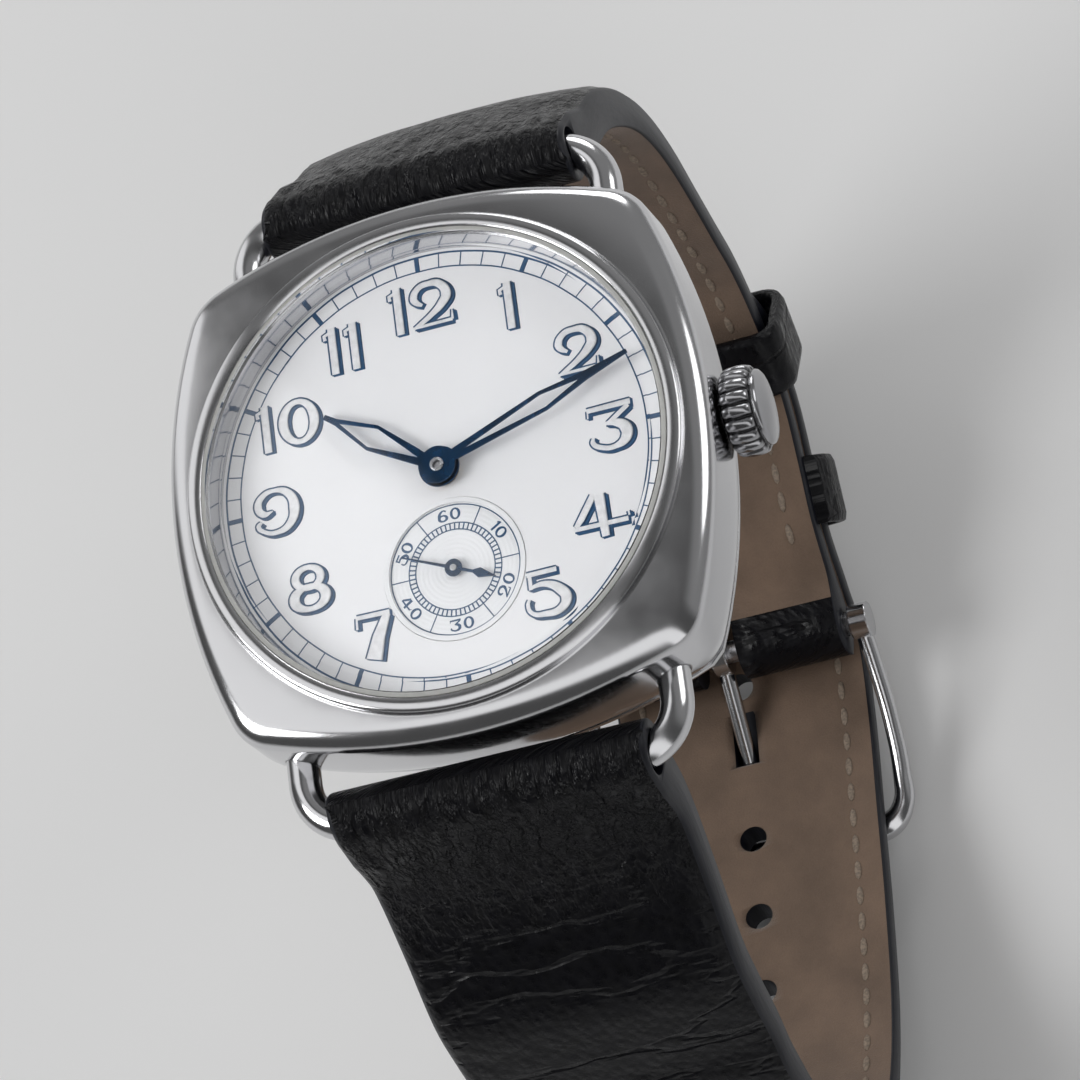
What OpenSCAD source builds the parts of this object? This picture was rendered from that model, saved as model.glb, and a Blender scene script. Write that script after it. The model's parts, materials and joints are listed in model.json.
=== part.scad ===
/* [Case] */
// Width of the case across two opposite sides
case_w = 34; // [33.6:0.2:36]
// Radius of the bow in each side
bow_r = 37; // [34:0.5:44]
// Height of the case middle, from the back seam to the face
case_h = 6.55; // [6.45:0.05:7.2]
// Height of the soft shoulder where face and side meet
shoulder_h = 1.1; // [0.8:0.05:1.4]
// Depth of the soft shoulder in from the side
shoulder_in = 2.4; // [1.8:0.1:2.6]
// Height of the rounding under the side
belly_h = 2.3; // [1.9:0.1:2.4]
// Depth of the rounding under the side
belly_in = 0.9; // [0.6:0.05:1.1]
// Height of the raised lip round the crystal
lip_h = 0.45; // [0.3:0.05:0.6]
// Width of the raised lip
lip_w = 0.8; // [0.6:0.05:1]
// Thickness of the case back under the seam
back_h = 1.4; // [1.3:0.05:1.6]
// Radius of the flat disc on the case back
back_flat_r = 13; // [11:0.25:13.5]
// Radius of the bore that holds the movement
bore_r = 14.75; // [14.7:0.05:15]

/* [Crystal and dial] */
// Radius of the crystal
glass_r = 14.3; // [14.2:0.05:14.4]
// Thickness of the crystal
glass_t = 1.1; // [0.9:0.05:1.3]
// Rise of the dome above its edge
dome_h = 1.45; // [1.1:0.05:1.8]
// Radius of the dial plate
dial_r = 14.5; // [14.35:0.05:14.6]
// Thickness of the dial plate
dial_t = 0.4; // [0.35:0.05:0.5]
// Distance from the centre of the dial to the small seconds
sub_off = 6.3; // [6.1:0.05:6.6]
// Radius of the small seconds disc
sub_r = 4.4; // [4.2:0.05:4.5]
// Width of the polished rim round the small seconds
sub_rim = 0.3; // [0.2:0.05:0.4]
// Length of the hour hand
hour_len = 8.3; // [7.4:0.1:9]
// Length of the minute hand
minute_len = 13; // [11.5:0.1:13.3]
// Length of the small seconds hand
second_len = 3.35; // [2.9:0.05:3.6]
// Hour that the hands show
show_hour = 10; // [0:1:11]
// Minute that the hands show
show_min = 12; // [0:1:59]
// Second that the small hand shows
show_sec = 49; // [0:1:59]

/* [Crown and lugs] */
// Radius of the crown over its flutes
crown_r = 2.6; // [2.4:0.05:2.9]
// Length of the crown
crown_l = 2.6; // [2.4:0.1:3]
// Number of flutes round the crown
flutes = 22; // [18:1:26]
// Height of the stem above the case back
stem_z = 3.6; // [3.55:0.05:3.65]
// Radius of the lug wire
wire_r = 1; // [0.9:0.05:1.1]
// Gap between the strap's edge and a lug's leg
lug_gap = 0.72; // [0.5:0.02:0.9]
// Distance from the side of the case to a lug's bar
lug_out = 2.47; // [2.27:0.1:2.97]
// Height of the lug wires above the case back
lug_z = 3.9; // [3.6:0.05:4.1]
// Radius of the bends in the lug wire
lug_bend = 3; // [2.6:0.1:3.2]

/* [Strap and buckle] */
// Width of the strap at the lugs
strap_w = 19.8; // [19:0.1:20]
// Width of the strap at the buckle
tip_w = 18; // [17:0.1:18.2]
// Thickness of the short strap at the buckle
short_t = 2.2; // [1.9:0.05:2.3]
// Thickness of the long strap at its holes
long_t = 2; // [1.8:0.05:2.1]
// Radius of the holes in the long strap
hole_r = 0.95; // [0.8:0.05:1.1]
// Distance between the holes
hole_pitch = 6; // [5.5:0.1:6.5]
// Width of each keeper along the strap
keeper_w = 5; // [4:0.25:5.5]
// Thickness of the keepers' leather
keeper_t = 0.95; // [0.85:0.05:1.2]
// Radius of the bar that the buckle turns on
pin_r = 0.75; // [0.6:0.05:0.8]
// Radius of the buckle's crossbar
cross_r = 1; // [0.8:0.05:1]
// Thickness of the buckle's arms
arm_t = 1.4; // [1.2:0.1:1.8]
// Radius of the tang
tang_r = 0.55; // [0.45:0.05:0.6]

/* [Movement] */
// Radius of the main plate
plate_r = 13.8; // [13.7:0.05:13.85]
// Thickness of the main plate
plate_t = 1.5; // [1.4:0.05:1.55]
// Radius of the train's pivots
pivot_r = 0.13; // [0.1:0.01:0.16]
// Radius of the jewels
jewel_r = 0.6; // [0.5:0.05:0.7]
// Thickness of the train's wheels
wheel_t = 0.18; // [0.15:0.01:0.2]
// Radius of the balance
balance_r = 2.55; // [2.4:0.05:2.6]

/* [Hidden] */
$fn = 64;

// Small clearances: run is for turning parts, fit for seated ones
run = 0.04;
fit = 0.03;
soft = 0.3;

// Levels, all measured up from the outer face of the case back
face_z = back_h + case_h;
lip_z = face_z + lip_h;
dial_z = back_h + 4.6;
plate_z = dial_z - dial_t - 0.05 - plate_t;
flange_z = dial_z + 0.55;
glass_z = dial_z + 1.55;
flange_r = dial_r - 0.2;
seat_r = glass_r + 0.3;

// Cushion outline: four bows whose meeting points are rounded by a circle about the centre
bow_c = bow_r - case_w / 2;
corner_at = case_w / 2 * 1.163;

// A solid with the cushion outline; edge lists [inset, height] from the bottom up
function turned(r, edge) = concat([[0, edge[0][1]]], [for (e = edge) [r - e[0], e[1]]],
    [[0, edge[len(edge) - 1][1]]]);
module cushion(edge) intersection() {
    rotate_extrude($fn = 180) polygon(turned(corner_at, edge));
    intersection_for (a = [0 : 90 : 270]) rotate(a) translate([-bow_c, 0, 0])
        rotate_extrude($fn = 180) polygon(turned(bow_r, edge));
}

// Rounded edges as quarter ellipses, in and up
function belly(d, h, z, n) = [for (i = [0 : n]) [d * (1 - sin(90 * i / n)), z + h * (1 - cos(90 * i / n))]];
function brow(d, h, z, n) = [for (i = [0 : n]) [d * (1 - cos(90 * i / n)), z - h + h * sin(90 * i / n)]];

module ring(ro, ri, z0, z1) translate([0, 0, z0]) difference() {
    cylinder(r = ro, h = z1 - z0);
    translate([0, 0, -1]) cylinder(r = ri, h = z1 - z0 + 2);
}
module disc(r, z0, z1) translate([0, 0, z0]) cylinder(r = r, h = z1 - z0);

lug_span = strap_w + 2 * (wire_r + lug_gap);
lug_y = case_w / 2 + lug_out;
leg_y = case_w / 2 - 3.8;
module wire_sockets() for (sx = [-1, 1], sy = [-1, 1])
    translate([sx * lug_span / 2, sy * leg_y, lug_z]) rotate([-90 * sy, 0, 0])
        cylinder(r = wire_r + fit, h = 5);

tube_r = 1.2;
module case_middle() color("silver") difference() {
    union() {
        cushion(concat(belly(belly_in, belly_h, back_h, 5), brow(shoulder_in, shoulder_h, face_z, 7)));
        rotate_extrude($fn = 180) polygon([[seat_r, face_z - 1], [seat_r + lip_w + 0.15, face_z - 1],
            [seat_r + lip_w, lip_z - 0.15], [seat_r + lip_w - 0.15, lip_z], [seat_r, lip_z]]);
    }
    disc(bore_r, back_h - 1, dial_z + fit);
    disc(flange_r, back_h, face_z);
    disc(seat_r, flange_z, lip_z + 1);
    wire_sockets();
    translate([bore_r - 2, 0, stem_z]) rotate([0, 90, 0])
        cylinder(r = tube_r + fit, h = case_w / 2 + 3.75 - bore_r);
}

seam = 0.06;
snap_t = 0.7;
cup_r = bore_r - 0.05 - snap_t;
floor_t = 0.9;
back_in = 0.5;
module case_back() color("gainsboro") difference() {
    union() {
        cushion(concat([for (e = belly(1.1, 0.75, 0.3, 4)) [e[0] + back_in, e[1]]],
            [[back_in, back_h - seam]]));
        rotate_extrude($fn = 180) polygon([[0, 0], [back_flat_r, 0], [back_flat_r + 0.5, 0.4],
            [0, 0.4]]);
        ring(cup_r + snap_t, cup_r, back_h - 0.3, back_h + 0.8);
    }
    disc(cup_r, floor_t, back_h + 1);
}
// The gasket sits in a step at the mouth of the bore
module back_gasket() color("black") translate([0, 0, back_h + 0.8 + 0.25]) rotate_extrude($fn = 90)
    translate([cup_r + snap_t - 0.3, 0]) circle(r = 0.22, $fn = 24);

// Crystal: a thin dome with a short upright edge
dome_R = (glass_r * glass_r + dome_h * dome_h) / (2 * dome_h);
module crystal() color("lightcyan") difference() {
    intersection() {
        disc(glass_r, glass_z, glass_z + 1 + dome_h);
        translate([0, 0, glass_z + 0.95 + dome_h - dome_R]) sphere(r = dome_R, $fn = 180);
    }
    translate([0, 0, glass_z + 0.95 + dome_h - dome_R]) sphere(r = dome_R - glass_t, $fn = 180);
}
module crystal_gasket() color("white") ring(seat_r - 0.01, glass_r + 0.01, glass_z, lip_z - 0.05);
module rehaut() color("lightgray") rotate_extrude($fn = 180) polygon([[flange_r - 0.4, dial_z + 0.02],
    [flange_r - fit, dial_z + 0.02], [flange_r - fit, flange_z + 0.01], [seat_r - fit, flange_z + 0.01],
    [seat_r - fit, glass_z - 0.02], [flange_r - 0.1, glass_z - 0.02], [flange_r - 0.4, dial_z + 0.3]]);

// A bent wire lug: two legs, two bends and a bar
module lug() {
    s = lug_span / 2;
    for (k = [-1, 1]) {
        translate([k * s, leg_y, 0]) rotate([-90, 0, 0]) cylinder(r = wire_r, h = lug_y - lug_bend - leg_y);
        translate([k * (s - lug_bend), lug_y - lug_bend, 0]) rotate(k > 0 ? 0 : 90)
            rotate_extrude(angle = 90) translate([lug_bend, 0]) circle(r = wire_r, $fn = 32);
    }
    translate([-(s - lug_bend), lug_y, 0]) rotate([0, 90, 0]) cylinder(r = wire_r, h = 2 * (s - lug_bend));
}
module lug_wire_12() color("silver") translate([0, 0, lug_z]) lug();
module lug_wire_6() color("silver") translate([0, 0, lug_z]) rotate(180) lug();

// Crown, tube and stem lie along +X at the stem height
module along_x(x) translate([x, 0, stem_z]) rotate([0, 90, 0]) children();
crown_x = case_w / 2 + 0.1;
stem_r = 0.6;
square_w = 0.85;
module crown_tube() color("silver") along_x(bore_r + 0.05) difference() {
    cylinder(r = tube_r, h = crown_x + 0.8 - bore_r);
    translate([0, 0, -1]) cylinder(r = stem_r + 0.06, h = crown_x + 3 - bore_r);
}
module crown() color("silver") along_x(crown_x) difference() {
    union() {
        intersection() {
            cylinder(r = crown_r, h = crown_l * 0.68);
            rotate_extrude() polygon([[0, 0], [crown_r - 0.35, 0], [crown_r, 0.3],
                [crown_r, crown_l * 0.68 - 0.15], [crown_r - 0.15, crown_l * 0.68], [0, crown_l * 0.68]]);
            difference() {
                cylinder(r = crown_r + 1, h = crown_l);
                for (i = [0 : flutes - 1]) rotate(i * 360 / flutes) translate([crown_r + 0.08, 0, -1])
                    cylinder(r = PI * crown_r / flutes * 0.68, h = crown_l + 2, $fn = 20);
            }
        }
        intersection() {
            translate([0, 0, crown_l * 0.68]) cylinder(r = crown_r - 0.12, h = crown_l * 0.32);
            translate([0, 0, crown_l - 7]) sphere(r = 7, $fn = 96);
        }
    }
    translate([0, 0, -1]) cylinder(r = tube_r + 0.12, h = 1 + 1.25);
    translate([0, 0, -1]) cylinder(r = stem_r + 0.01, h = 1 + 1.7);
}
clutch_x = 9.75;
clutch_l = 1.7;
wind_x = 11.5;
wind_l = 0.8;
module stem() color("silver") {
    translate([clutch_x - 0.9, -square_w / 2, stem_z - square_w / 2])
        cube([wind_x - clutch_x + 1, square_w, square_w]);
    along_x(wind_x - fit) cylinder(r = stem_r, h = crown_x + 1.65 - wind_x + fit);
}

// Dial with its opening for the small seconds
module dial() color("white") difference() {
    disc(dial_r, dial_z - dial_t, dial_z);
    disc(1.05, 0, dial_z + 1);
    translate([0, -sub_off, 0]) disc(sub_r + fit, 0, dial_z + 1);
}
module sub_dial() color("whitesmoke") translate([0, -sub_off, 0]) difference() {
    union() {
        disc(sub_r, dial_z - dial_t, dial_z - 0.12);
        ring(sub_r, sub_r - sub_rim, dial_z - dial_t, dial_z + 0.06);
    }
    disc(0.28, 0, dial_z);
}

// Hands: hubs and open leaves, turned to the time shown
hour_a = -(show_hour * 30 + show_min / 2);
minute_a = -show_min * 6;
second_a = -show_sec * 6;
cannon_r = 0.58;
tip_r = 0.42;
pipe_r = 0.95;
hand_t = 0.15;
root_w = 0.3;
open_y = 1.5;
module leaf(l, w, y0, y1, neck, tip, wall) difference() {
    polygon([[-root_w, 0], [root_w, 0], [w, y0], [neck, y1], [tip, l], [-tip, l], [-neck, y1], [-w, y0]]);
    polygon([[0, open_y], [w - wall, y0], [0, y1 - 0.25], [wall - w, y0]]);
}
module hour_hand() color("navy") rotate(hour_a) translate([0, 0, dial_z + 0.45])
    linear_extrude(hand_t) difference() {
        union() {
            circle(r = 1.25);
            leaf(hour_len, 0.82, hour_len * 0.58, hour_len * 0.9, 0.2, 0.15, 0.2);
        }
        circle(r = pipe_r - 0.15 + 0.01);
    }
module minute_hand() color("navy") rotate(minute_a) translate([0, 0, dial_z + 0.8])
    linear_extrude(hand_t) difference() {
        union() {
            circle(r = 1.15);
            leaf(minute_len, 0.65, minute_len * 0.56, minute_len * 0.78, 0.28, 0.11, 0.19);
        }
        circle(r = tip_r + 0.01);
    }
second_r = 0.2;
module seconds_hand() color("navy") translate([0, -sub_off, dial_z + 0.14]) rotate(second_a)
    linear_extrude(0.12) difference() {
        union() {
            circle(r = 0.53);
            polygon([[0.04, second_len], [-0.04, second_len], [-0.1, 0], [-0.08, -1.25], [-0.3, -1.68],
                [0, -2.75], [0.3, -1.68], [0.08, -1.25], [0.1, 0]]);
        }
        circle(r = second_r + 0.01);
    }

// Toothed outlines: n teeth of module m, one tooth pointing along +X
function teeth(n, m) = [for (i = [0 : n - 1], q = [[-0.28, -1.2], [-0.12, 0.9], [0.12, 0.9], [0.28, -1.2]])
    let (a = (i + q[0]) * 360 / n, r = m * (n / 2 + q[1])) [r * cos(a), r * sin(a)]];
module spoked(n, m, hub) difference() {
    polygon(teeth(n, m));
    difference() {
        circle(r = m * (n / 2 - 1.2) - 0.3);
        circle(r = hub);
        for (a = [0, 90]) rotate(a) square([0.35, m * n * 1.2], center = true);
    }
}
module gear(n, m, z0, t, a) translate([0, 0, z0]) rotate(a) linear_extrude(t) polygon(teeth(n, m));

// Plan of the going train: barrel, centre, third, fourth and escape
barrel_n = 84;
centre_n = 80;
third_n = 75;
fourth_n = 80;
bar_m = 0.146;
centre_leaves = 14;
cen_m = 0.13;
leaves = 10;
thd_m = 0.12;
fth_m = 0.11;
esc_leaves = 8;
keyless_m = 0.17;
crown_n = 36;
ratchet_n = 60;
wind_n = 21;
crown_wx = wind_x + 0.16 - keyless_m * crown_n / 2;
cb = bar_m * (barrel_n + centre_leaves) / 2;
cr = keyless_m * (crown_n + ratchet_n) / 2;
barrel_a = acos((cb * cb + crown_wx * crown_wx - cr * cr) / (2 * cb * crown_wx));
barrel_p = [cb * cos(barrel_a), cb * sin(barrel_a)];
crown_p = [crown_wx, 0];
ct = cen_m * (centre_n + leaves) / 2;
tf = thd_m * (third_n + leaves) / 2;
third_y = -(ct * ct - tf * tf + sub_off * sub_off) / (2 * sub_off);
third_p = [-sqrt(ct * ct - third_y * third_y), third_y];
fourth_p = [0, -sub_off];
fe = fth_m * (fourth_n + esc_leaves) / 2;
escape_p = fourth_p + fe * [cos(-15), sin(-15)];
balance_p = [8.3, -5];
esc_r = 1.9;
pallet_d = esc_r / cos(30);
lever_d = 2.9;
eb = balance_p - escape_p;
eb_d = norm(eb);
eb_a = (pallet_d * pallet_d - lever_d * lever_d + eb_d * eb_d) / (2 * eb_d);
pallet_p = escape_p + eb_a * eb / eb_d
    + sqrt(pallet_d * pallet_d - eb_a * eb_a) * [-eb[1], eb[0]] / eb_d;
function dir(p, q) = atan2(q[1] - p[1], q[0] - p[0]);
centre_p = [0, 0];

// Levels of the movement
bridge_z = 1.6;
bridge_t = 0.75;
cw_z = bridge_z + bridge_t + 0.08;
fw_z = cw_z + wheel_t + 0.13;
drum_z = cw_z + wheel_t + 0.14;
tw_z = fw_z + wheel_t + 0.2;
drum_flange = 0.4;
drum_top = plate_z - 0.1;
ew_z = tw_z + wheel_t + 0.15;
pocket_z = plate_z + 0.55;
jewel_t = 0.4;
module pivots(p, z0, z1, r) translate(p) {
    disc(r, z0, z1);
    disc(pivot_r, bridge_z + bridge_t - jewel_t, z0 + 0.01);
    disc(pivot_r, z1 - 0.01, plate_z + jewel_t);
}
low_z = bridge_z + bridge_t + 0.04;
top_z = plate_z - 0.04;

module barrel() color("gold") translate(barrel_p) difference() {
    union() {
        disc(bar_m * barrel_n / 2 - 0.4, drum_z, drum_top - drum_flange + 0.01);
        gear(barrel_n, bar_m, drum_top - drum_flange, drum_flange, dir(barrel_p, centre_p));
    }
    disc(0.64, 0, plate_z);
    ring(bar_m * barrel_n / 2 - 0.75, 2.2, 0, drum_z + 0.12);
}
arbor_r = 0.22;
module centre_wheel() color("gold") {
    translate([0, 0, cw_z]) rotate(dir(centre_p, third_p)) linear_extrude(wheel_t)
        spoked(centre_n, cen_m, 0.7);
    disc(0.5, low_z, top_z);
    disc(pivot_r, bridge_z + bridge_t - jewel_t, low_z + 0.01);
    disc(arbor_r, top_z - 0.01, dial_z + 0.75);
    gear(centre_leaves, bar_m, drum_top - drum_flange - 0.05, drum_flange + 0.1,
        dir(centre_p, barrel_p) + 180 / centre_leaves);
}
module third_wheel() color("gold") {
    pivots(third_p, low_z, top_z, 0.3);
    translate(third_p) {
        gear(leaves, cen_m, low_z + 0.02, wheel_t + 0.06, dir(third_p, centre_p) + 180 / leaves);
        translate([0, 0, tw_z]) rotate(dir(third_p, fourth_p)) linear_extrude(wheel_t)
            spoked(third_n, thd_m, 0.6);
    }
}
module fourth_wheel() color("gold") {
    translate(fourth_p) {
        disc(0.3, low_z, top_z);
        disc(pivot_r, bridge_z + bridge_t - jewel_t, low_z + 0.01);
        disc(second_r, top_z - 0.01, dial_z + 0.3);
        gear(leaves, thd_m, tw_z - 0.06, wheel_t + 0.12, dir(fourth_p, third_p) + 180 / leaves);
        translate([0, 0, fw_z]) rotate(dir(fourth_p, escape_p)) linear_extrude(wheel_t)
            spoked(fourth_n, fth_m, 0.6);
    }
}
esc_n = 15;
esc_a = dir(escape_p, pallet_p) + 30 + 0.25 * 360 / esc_n;
module escape_wheel() color("silver") {
    pivots(escape_p, low_z, top_z, 0.2);
    translate(escape_p) {
        gear(esc_leaves, fth_m, fw_z - 0.06, wheel_t + 0.12, dir(escape_p, fourth_p) + 180 / esc_leaves);
        translate([0, 0, ew_z]) rotate(esc_a) linear_extrude(wheel_t) difference() {
            polygon([for (i = [0 : esc_n - 1], q = [[-0.3, 0.78], [-0.05, 1], [0.05, 1], [0.12, 0.78]])
                let (a = (i + q[0]) * 360 / esc_n, r = esc_r * q[1]) [r * cos(a), r * sin(a)]]);
            difference() {
                circle(r = esc_r * 0.64);
                circle(r = 0.42);
                for (a = [0, 90]) rotate(a) square([0.25, 3], center = true);
            }
        }
    }
}

// Pallet fork: two arms with stones and a lever, drawn half way between its banks
module bar2(p, q, w) translate(p) rotate(dir(p, q)) translate([0, -w / 2]) square([norm(q - p), w]);
module pallet_fork() color("silver") {
    pivots(pallet_p, low_z, top_z, 0.18);
    pe = dir(escape_p, pallet_p);
    stones = [for (s = [-30, 30]) escape_p + (esc_r + 0.03) * [cos(pe + s), sin(pe + s)]];
    pb = (balance_p - pallet_p) / lever_d;
    translate([0, 0, ew_z]) linear_extrude(wheel_t) difference() {
        union() {
            for (s = [0, 1]) let (a = pe + 60 * s - 30)
                bar2(pallet_p, stones[s] + 0.32 * [cos(a), sin(a)], 0.3);
            bar2(pallet_p, pallet_p + (lever_d - 0.95) * pb, 0.26);
            translate(pallet_p + (lever_d - 0.85) * pb) rotate(dir(pallet_p, balance_p))
                square([0.5, 0.9], center = true);
        }
        translate(pallet_p + (lever_d - 0.6) * pb) rotate(dir(pallet_p, balance_p))
            square([0.5, 0.34], center = true);
    }
    for (s = [0, 1]) translate([stones[s][0], stones[s][1], ew_z - 0.05]) rotate(pe + 60 * s - 30)
        linear_extrude(wheel_t + 0.1) translate([0, -0.1]) square([0.5, 0.2]);
}

// Balance with its staff, roller and impulse pin, stopped outside the fork
bal_z = cw_z + 0.05;
pin_a = dir(balance_p, pallet_p) + 110;
module balance() color("gold") {
    pivots(balance_p, low_z, top_z, 0.2);
    translate(balance_p) {
        translate([0, 0, bal_z]) linear_extrude(0.4) difference() {
            circle(r = balance_r);
            difference() {
                circle(r = balance_r - 0.4);
                circle(r = 0.6);
                rotate(40) square([0.6, 2 * balance_r], center = true);
            }
        }
        disc(0.95, ew_z - 0.32, ew_z - 0.12);
        rotate(pin_a) translate([0.72, 0, 0]) disc(0.12, ew_z - 0.13, ew_z + wheel_t);
    }
}
coils = 6;
function coil(t, o) = let (r = 0.62 + 0.19 * t + o, a = 360 * t)
    balance_p + [r * cos(a), r * sin(a)];
module hairspring() color("steelblue") translate([0, 0, bal_z + 0.43]) linear_extrude(0.1)
    polygon(concat([for (i = [0 : coils * 20]) coil(i / 20, 0.025)],
        [for (i = [coils * 20 : -1 : 0]) coil(i / 20, -0.025)]));

// Motion works in the pocket under the dial
mw_z = pocket_z + 0.05;
cannon_n = 12;
minute_n = 36;
mw_m = 0.125;
mp_n = 10;
hour_n = 40;
mp_m = 0.12;
minute_p = mw_m * (cannon_n + minute_n) / 2 * [cos(60), sin(60)];
post_r = 0.25;
hour_tube = dial_z + 0.43;
module cannon_pinion() color("silver") difference() {
    union() {
        gear(cannon_n, mw_m, mw_z, 0.3, 60);
        disc(cannon_r, mw_z, dial_z + 0.78);
        disc(tip_r, dial_z + 0.7, dial_z + 1);
    }
    disc(arbor_r + run, 0, dial_z + 2);
}
module minute_wheel() color("gold") translate(minute_p) difference() {
    union() {
        gear(minute_n, mw_m, mw_z + 0.05, 0.2, 240 + 180 / minute_n);
        gear(mp_n, mp_m, mw_z + 0.24, 0.42, 240);
    }
    disc(post_r + run, 0, dial_z);
}
module hour_wheel() color("gold") difference() {
    union() {
        gear(hour_n, mp_m, mw_z + 0.38, 0.2, 60 + 180 / hour_n);
        disc(pipe_r, mw_z + 0.38, hour_tube);
        disc(pipe_r - 0.15, hour_tube - 0.1, dial_z + 0.63);
    }
    disc(cannon_r + run, 0, dial_z + 2);
}

// Keyless works: pinion and clutch on the stem, crown wheel and ratchet wheel at the back
wind_tip = keyless_m * (wind_n / 2 + 0.9);
module winding_pinion() color("silver") along_x(wind_x) difference() {
    linear_extrude(wind_l) polygon(teeth(wind_n, keyless_m));
    translate([0, 0, -1]) cylinder(r = stem_r + run, h = wind_l + 2);
}
clutch_r = 1;
module sliding_clutch() color("silver") along_x(clutch_x) difference() {
    rotate_extrude() polygon([[0, 0], [clutch_r, 0], [clutch_r, 0.4], [clutch_r - 0.2, 0.5],
        [clutch_r - 0.2, 0.9], [clutch_r, 1], [clutch_r, clutch_l], [0, clutch_l]]);
    translate([-square_w / 2 - run, -square_w / 2 - run, -1]) cube([square_w + 2 * run,
        square_w + 2 * run, clutch_l + 2]);
}
kw_z = bridge_z + 0.08;
kw_t = 0.27;
kw_floor = bridge_z + 0.38;
core_r = 0.96;
barrel_arbor_r = 0.6;
module ratchet_wheel() color("silver") translate(barrel_p) {
    gear(ratchet_n, keyless_m, kw_z, kw_t, dir(barrel_p, crown_p));
    disc(barrel_arbor_r, kw_z, plate_z - 0.03);
    disc(barrel_arbor_r - 0.15, plate_z - 0.1, plate_z + 0.4);
}
module crown_wheel() color("silver") translate(crown_p) difference() {
    gear(crown_n, keyless_m, kw_z, kw_t, dir(crown_p, barrel_p) + 180 / crown_n);
    disc(core_r + run, 0, plate_z);
}

// Holes for the jewels: a seat at the inner face and an oil sink outside
lower = [centre_p, third_p, fourth_p, escape_p, pallet_p, balance_p];
upper = [third_p, escape_p, pallet_p, balance_p];
jewel_z = bridge_z + bridge_t - jewel_t;
module lower_holes() for (p = lower) translate(p) {
    disc(jewel_r + 0.01, jewel_z, bridge_z + bridge_t + 1);
    disc(0.35, 0, jewel_z + 0.1);
}
module jewels() color("crimson") {
    for (p = lower) translate(p) ring(jewel_r, pivot_r + 0.02, jewel_z, bridge_z + bridge_t);
    for (p = upper) translate(p) ring(jewel_r, pivot_r + 0.02, plate_z, plate_z + jewel_t);
}

// Screws share one size; the head sits in a counterbore of the bridge
screw_r = 0.3;
head_r = 0.5;
wall_in = 11.3;
bridge_r = 12.9;
screw_at = [for (a = [15, 105, 168, 190, 240, 275, 304]) 12.1 * [cos(a), sin(a)]];
clamp_at = [45, 150, 222];
clamp_r = plate_r - 0.37;
module screw(z) difference() {
    union() {
        disc(head_r, z, z + 0.3);
        disc(screw_r, z + 0.2, bridge_z + bridge_t + 1);
    }
    translate([-head_r - 1, -0.06, z - 1]) cube([2 * head_r + 2, 0.12, 1.12]);
}
module bridge_screws() color("steelblue") {
    for (p = screw_at) translate(p) rotate(37) screw(bridge_z + 0.1);
    for (a = clamp_at) rotate(a) translate([clamp_r, 0, 0]) rotate(20) screw(bridge_z + bridge_t - 0.6);
}
module screw_holes() for (p = screw_at) translate(p) {
    disc(screw_r + 0.02, 0, bridge_z + bridge_t + 1.05);
    disc(head_r + 0.04, 0, bridge_z + 0.4 + fit);
}

// Main plate: a disc with a rim that carries the bridges
module main_plate() color("silver") difference() {
    union() {
        disc(plate_r, plate_z, plate_z + plate_t);
        ring(plate_r, wall_in, bridge_z + bridge_t, plate_z + 0.1);
    }
    translate(barrel_p) disc(bar_m * (barrel_n / 2 + 0.9) + 0.13, 0, plate_z);
    translate(balance_p) disc(balance_r + 0.13, 0, plate_z);
    disc(2.75, pocket_z, dial_z);
    translate(minute_p) difference() {
        disc(2.55, pocket_z, dial_z);
        disc(post_r, 0, mw_z + 0.8);
    }
    disc(arbor_r + run, 0, dial_z);
    translate(fourth_p) disc(second_r + run, 0, dial_z);
    for (p = upper) translate(p) {
        disc(jewel_r + 0.01, 0, plate_z + jewel_t);
        disc(0.35, 0, dial_z);
    }
    translate(barrel_p) disc(barrel_arbor_r - 0.15 + run, 0, plate_z + 0.5);
    along_x(clutch_x - 1.2) cylinder(r = stem_r + 0.06, h = 8);
    along_x(clutch_x - 0.3) cylinder(r = clutch_r + 0.08, h = clutch_l + 0.6);
    translate([wind_x - 0.1, -wind_tip - 0.08, 0]) cube([wind_l + 0.2, 2 * wind_tip + 0.16, dial_z]);
    for (p = screw_at) translate(p) disc(screw_r + 0.02, 0, bridge_z + bridge_t + 1.05);
    for (a = clamp_at) rotate(a) translate([clamp_r, 0, 0])
        disc(screw_r + 0.02, 0, bridge_z + bridge_t + 1.05);
}
module movement_ring() color("silver") difference() {
    union() {
        ring(bore_r - 0.65, plate_r + 0.05, bridge_z + bridge_t, plate_z + plate_t);
        ring(bore_r - 0.05, plate_r + 0.05, 2.72, plate_z + plate_t);
    }
    along_x(plate_r - 0.5) cylinder(r = tube_r + 0.1, h = 2);
}
module case_clamps() color("silver") for (a = clamp_at) rotate(a)
    translate([clamp_r, 0, bridge_z + bridge_t - 0.3]) difference() {
        translate([-0.48, -0.9, 0]) cube([1, 1.8, 0.28]);
        translate([0, 0, -1]) cylinder(r = screw_r + 0.02, h = 3);
    }

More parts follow.
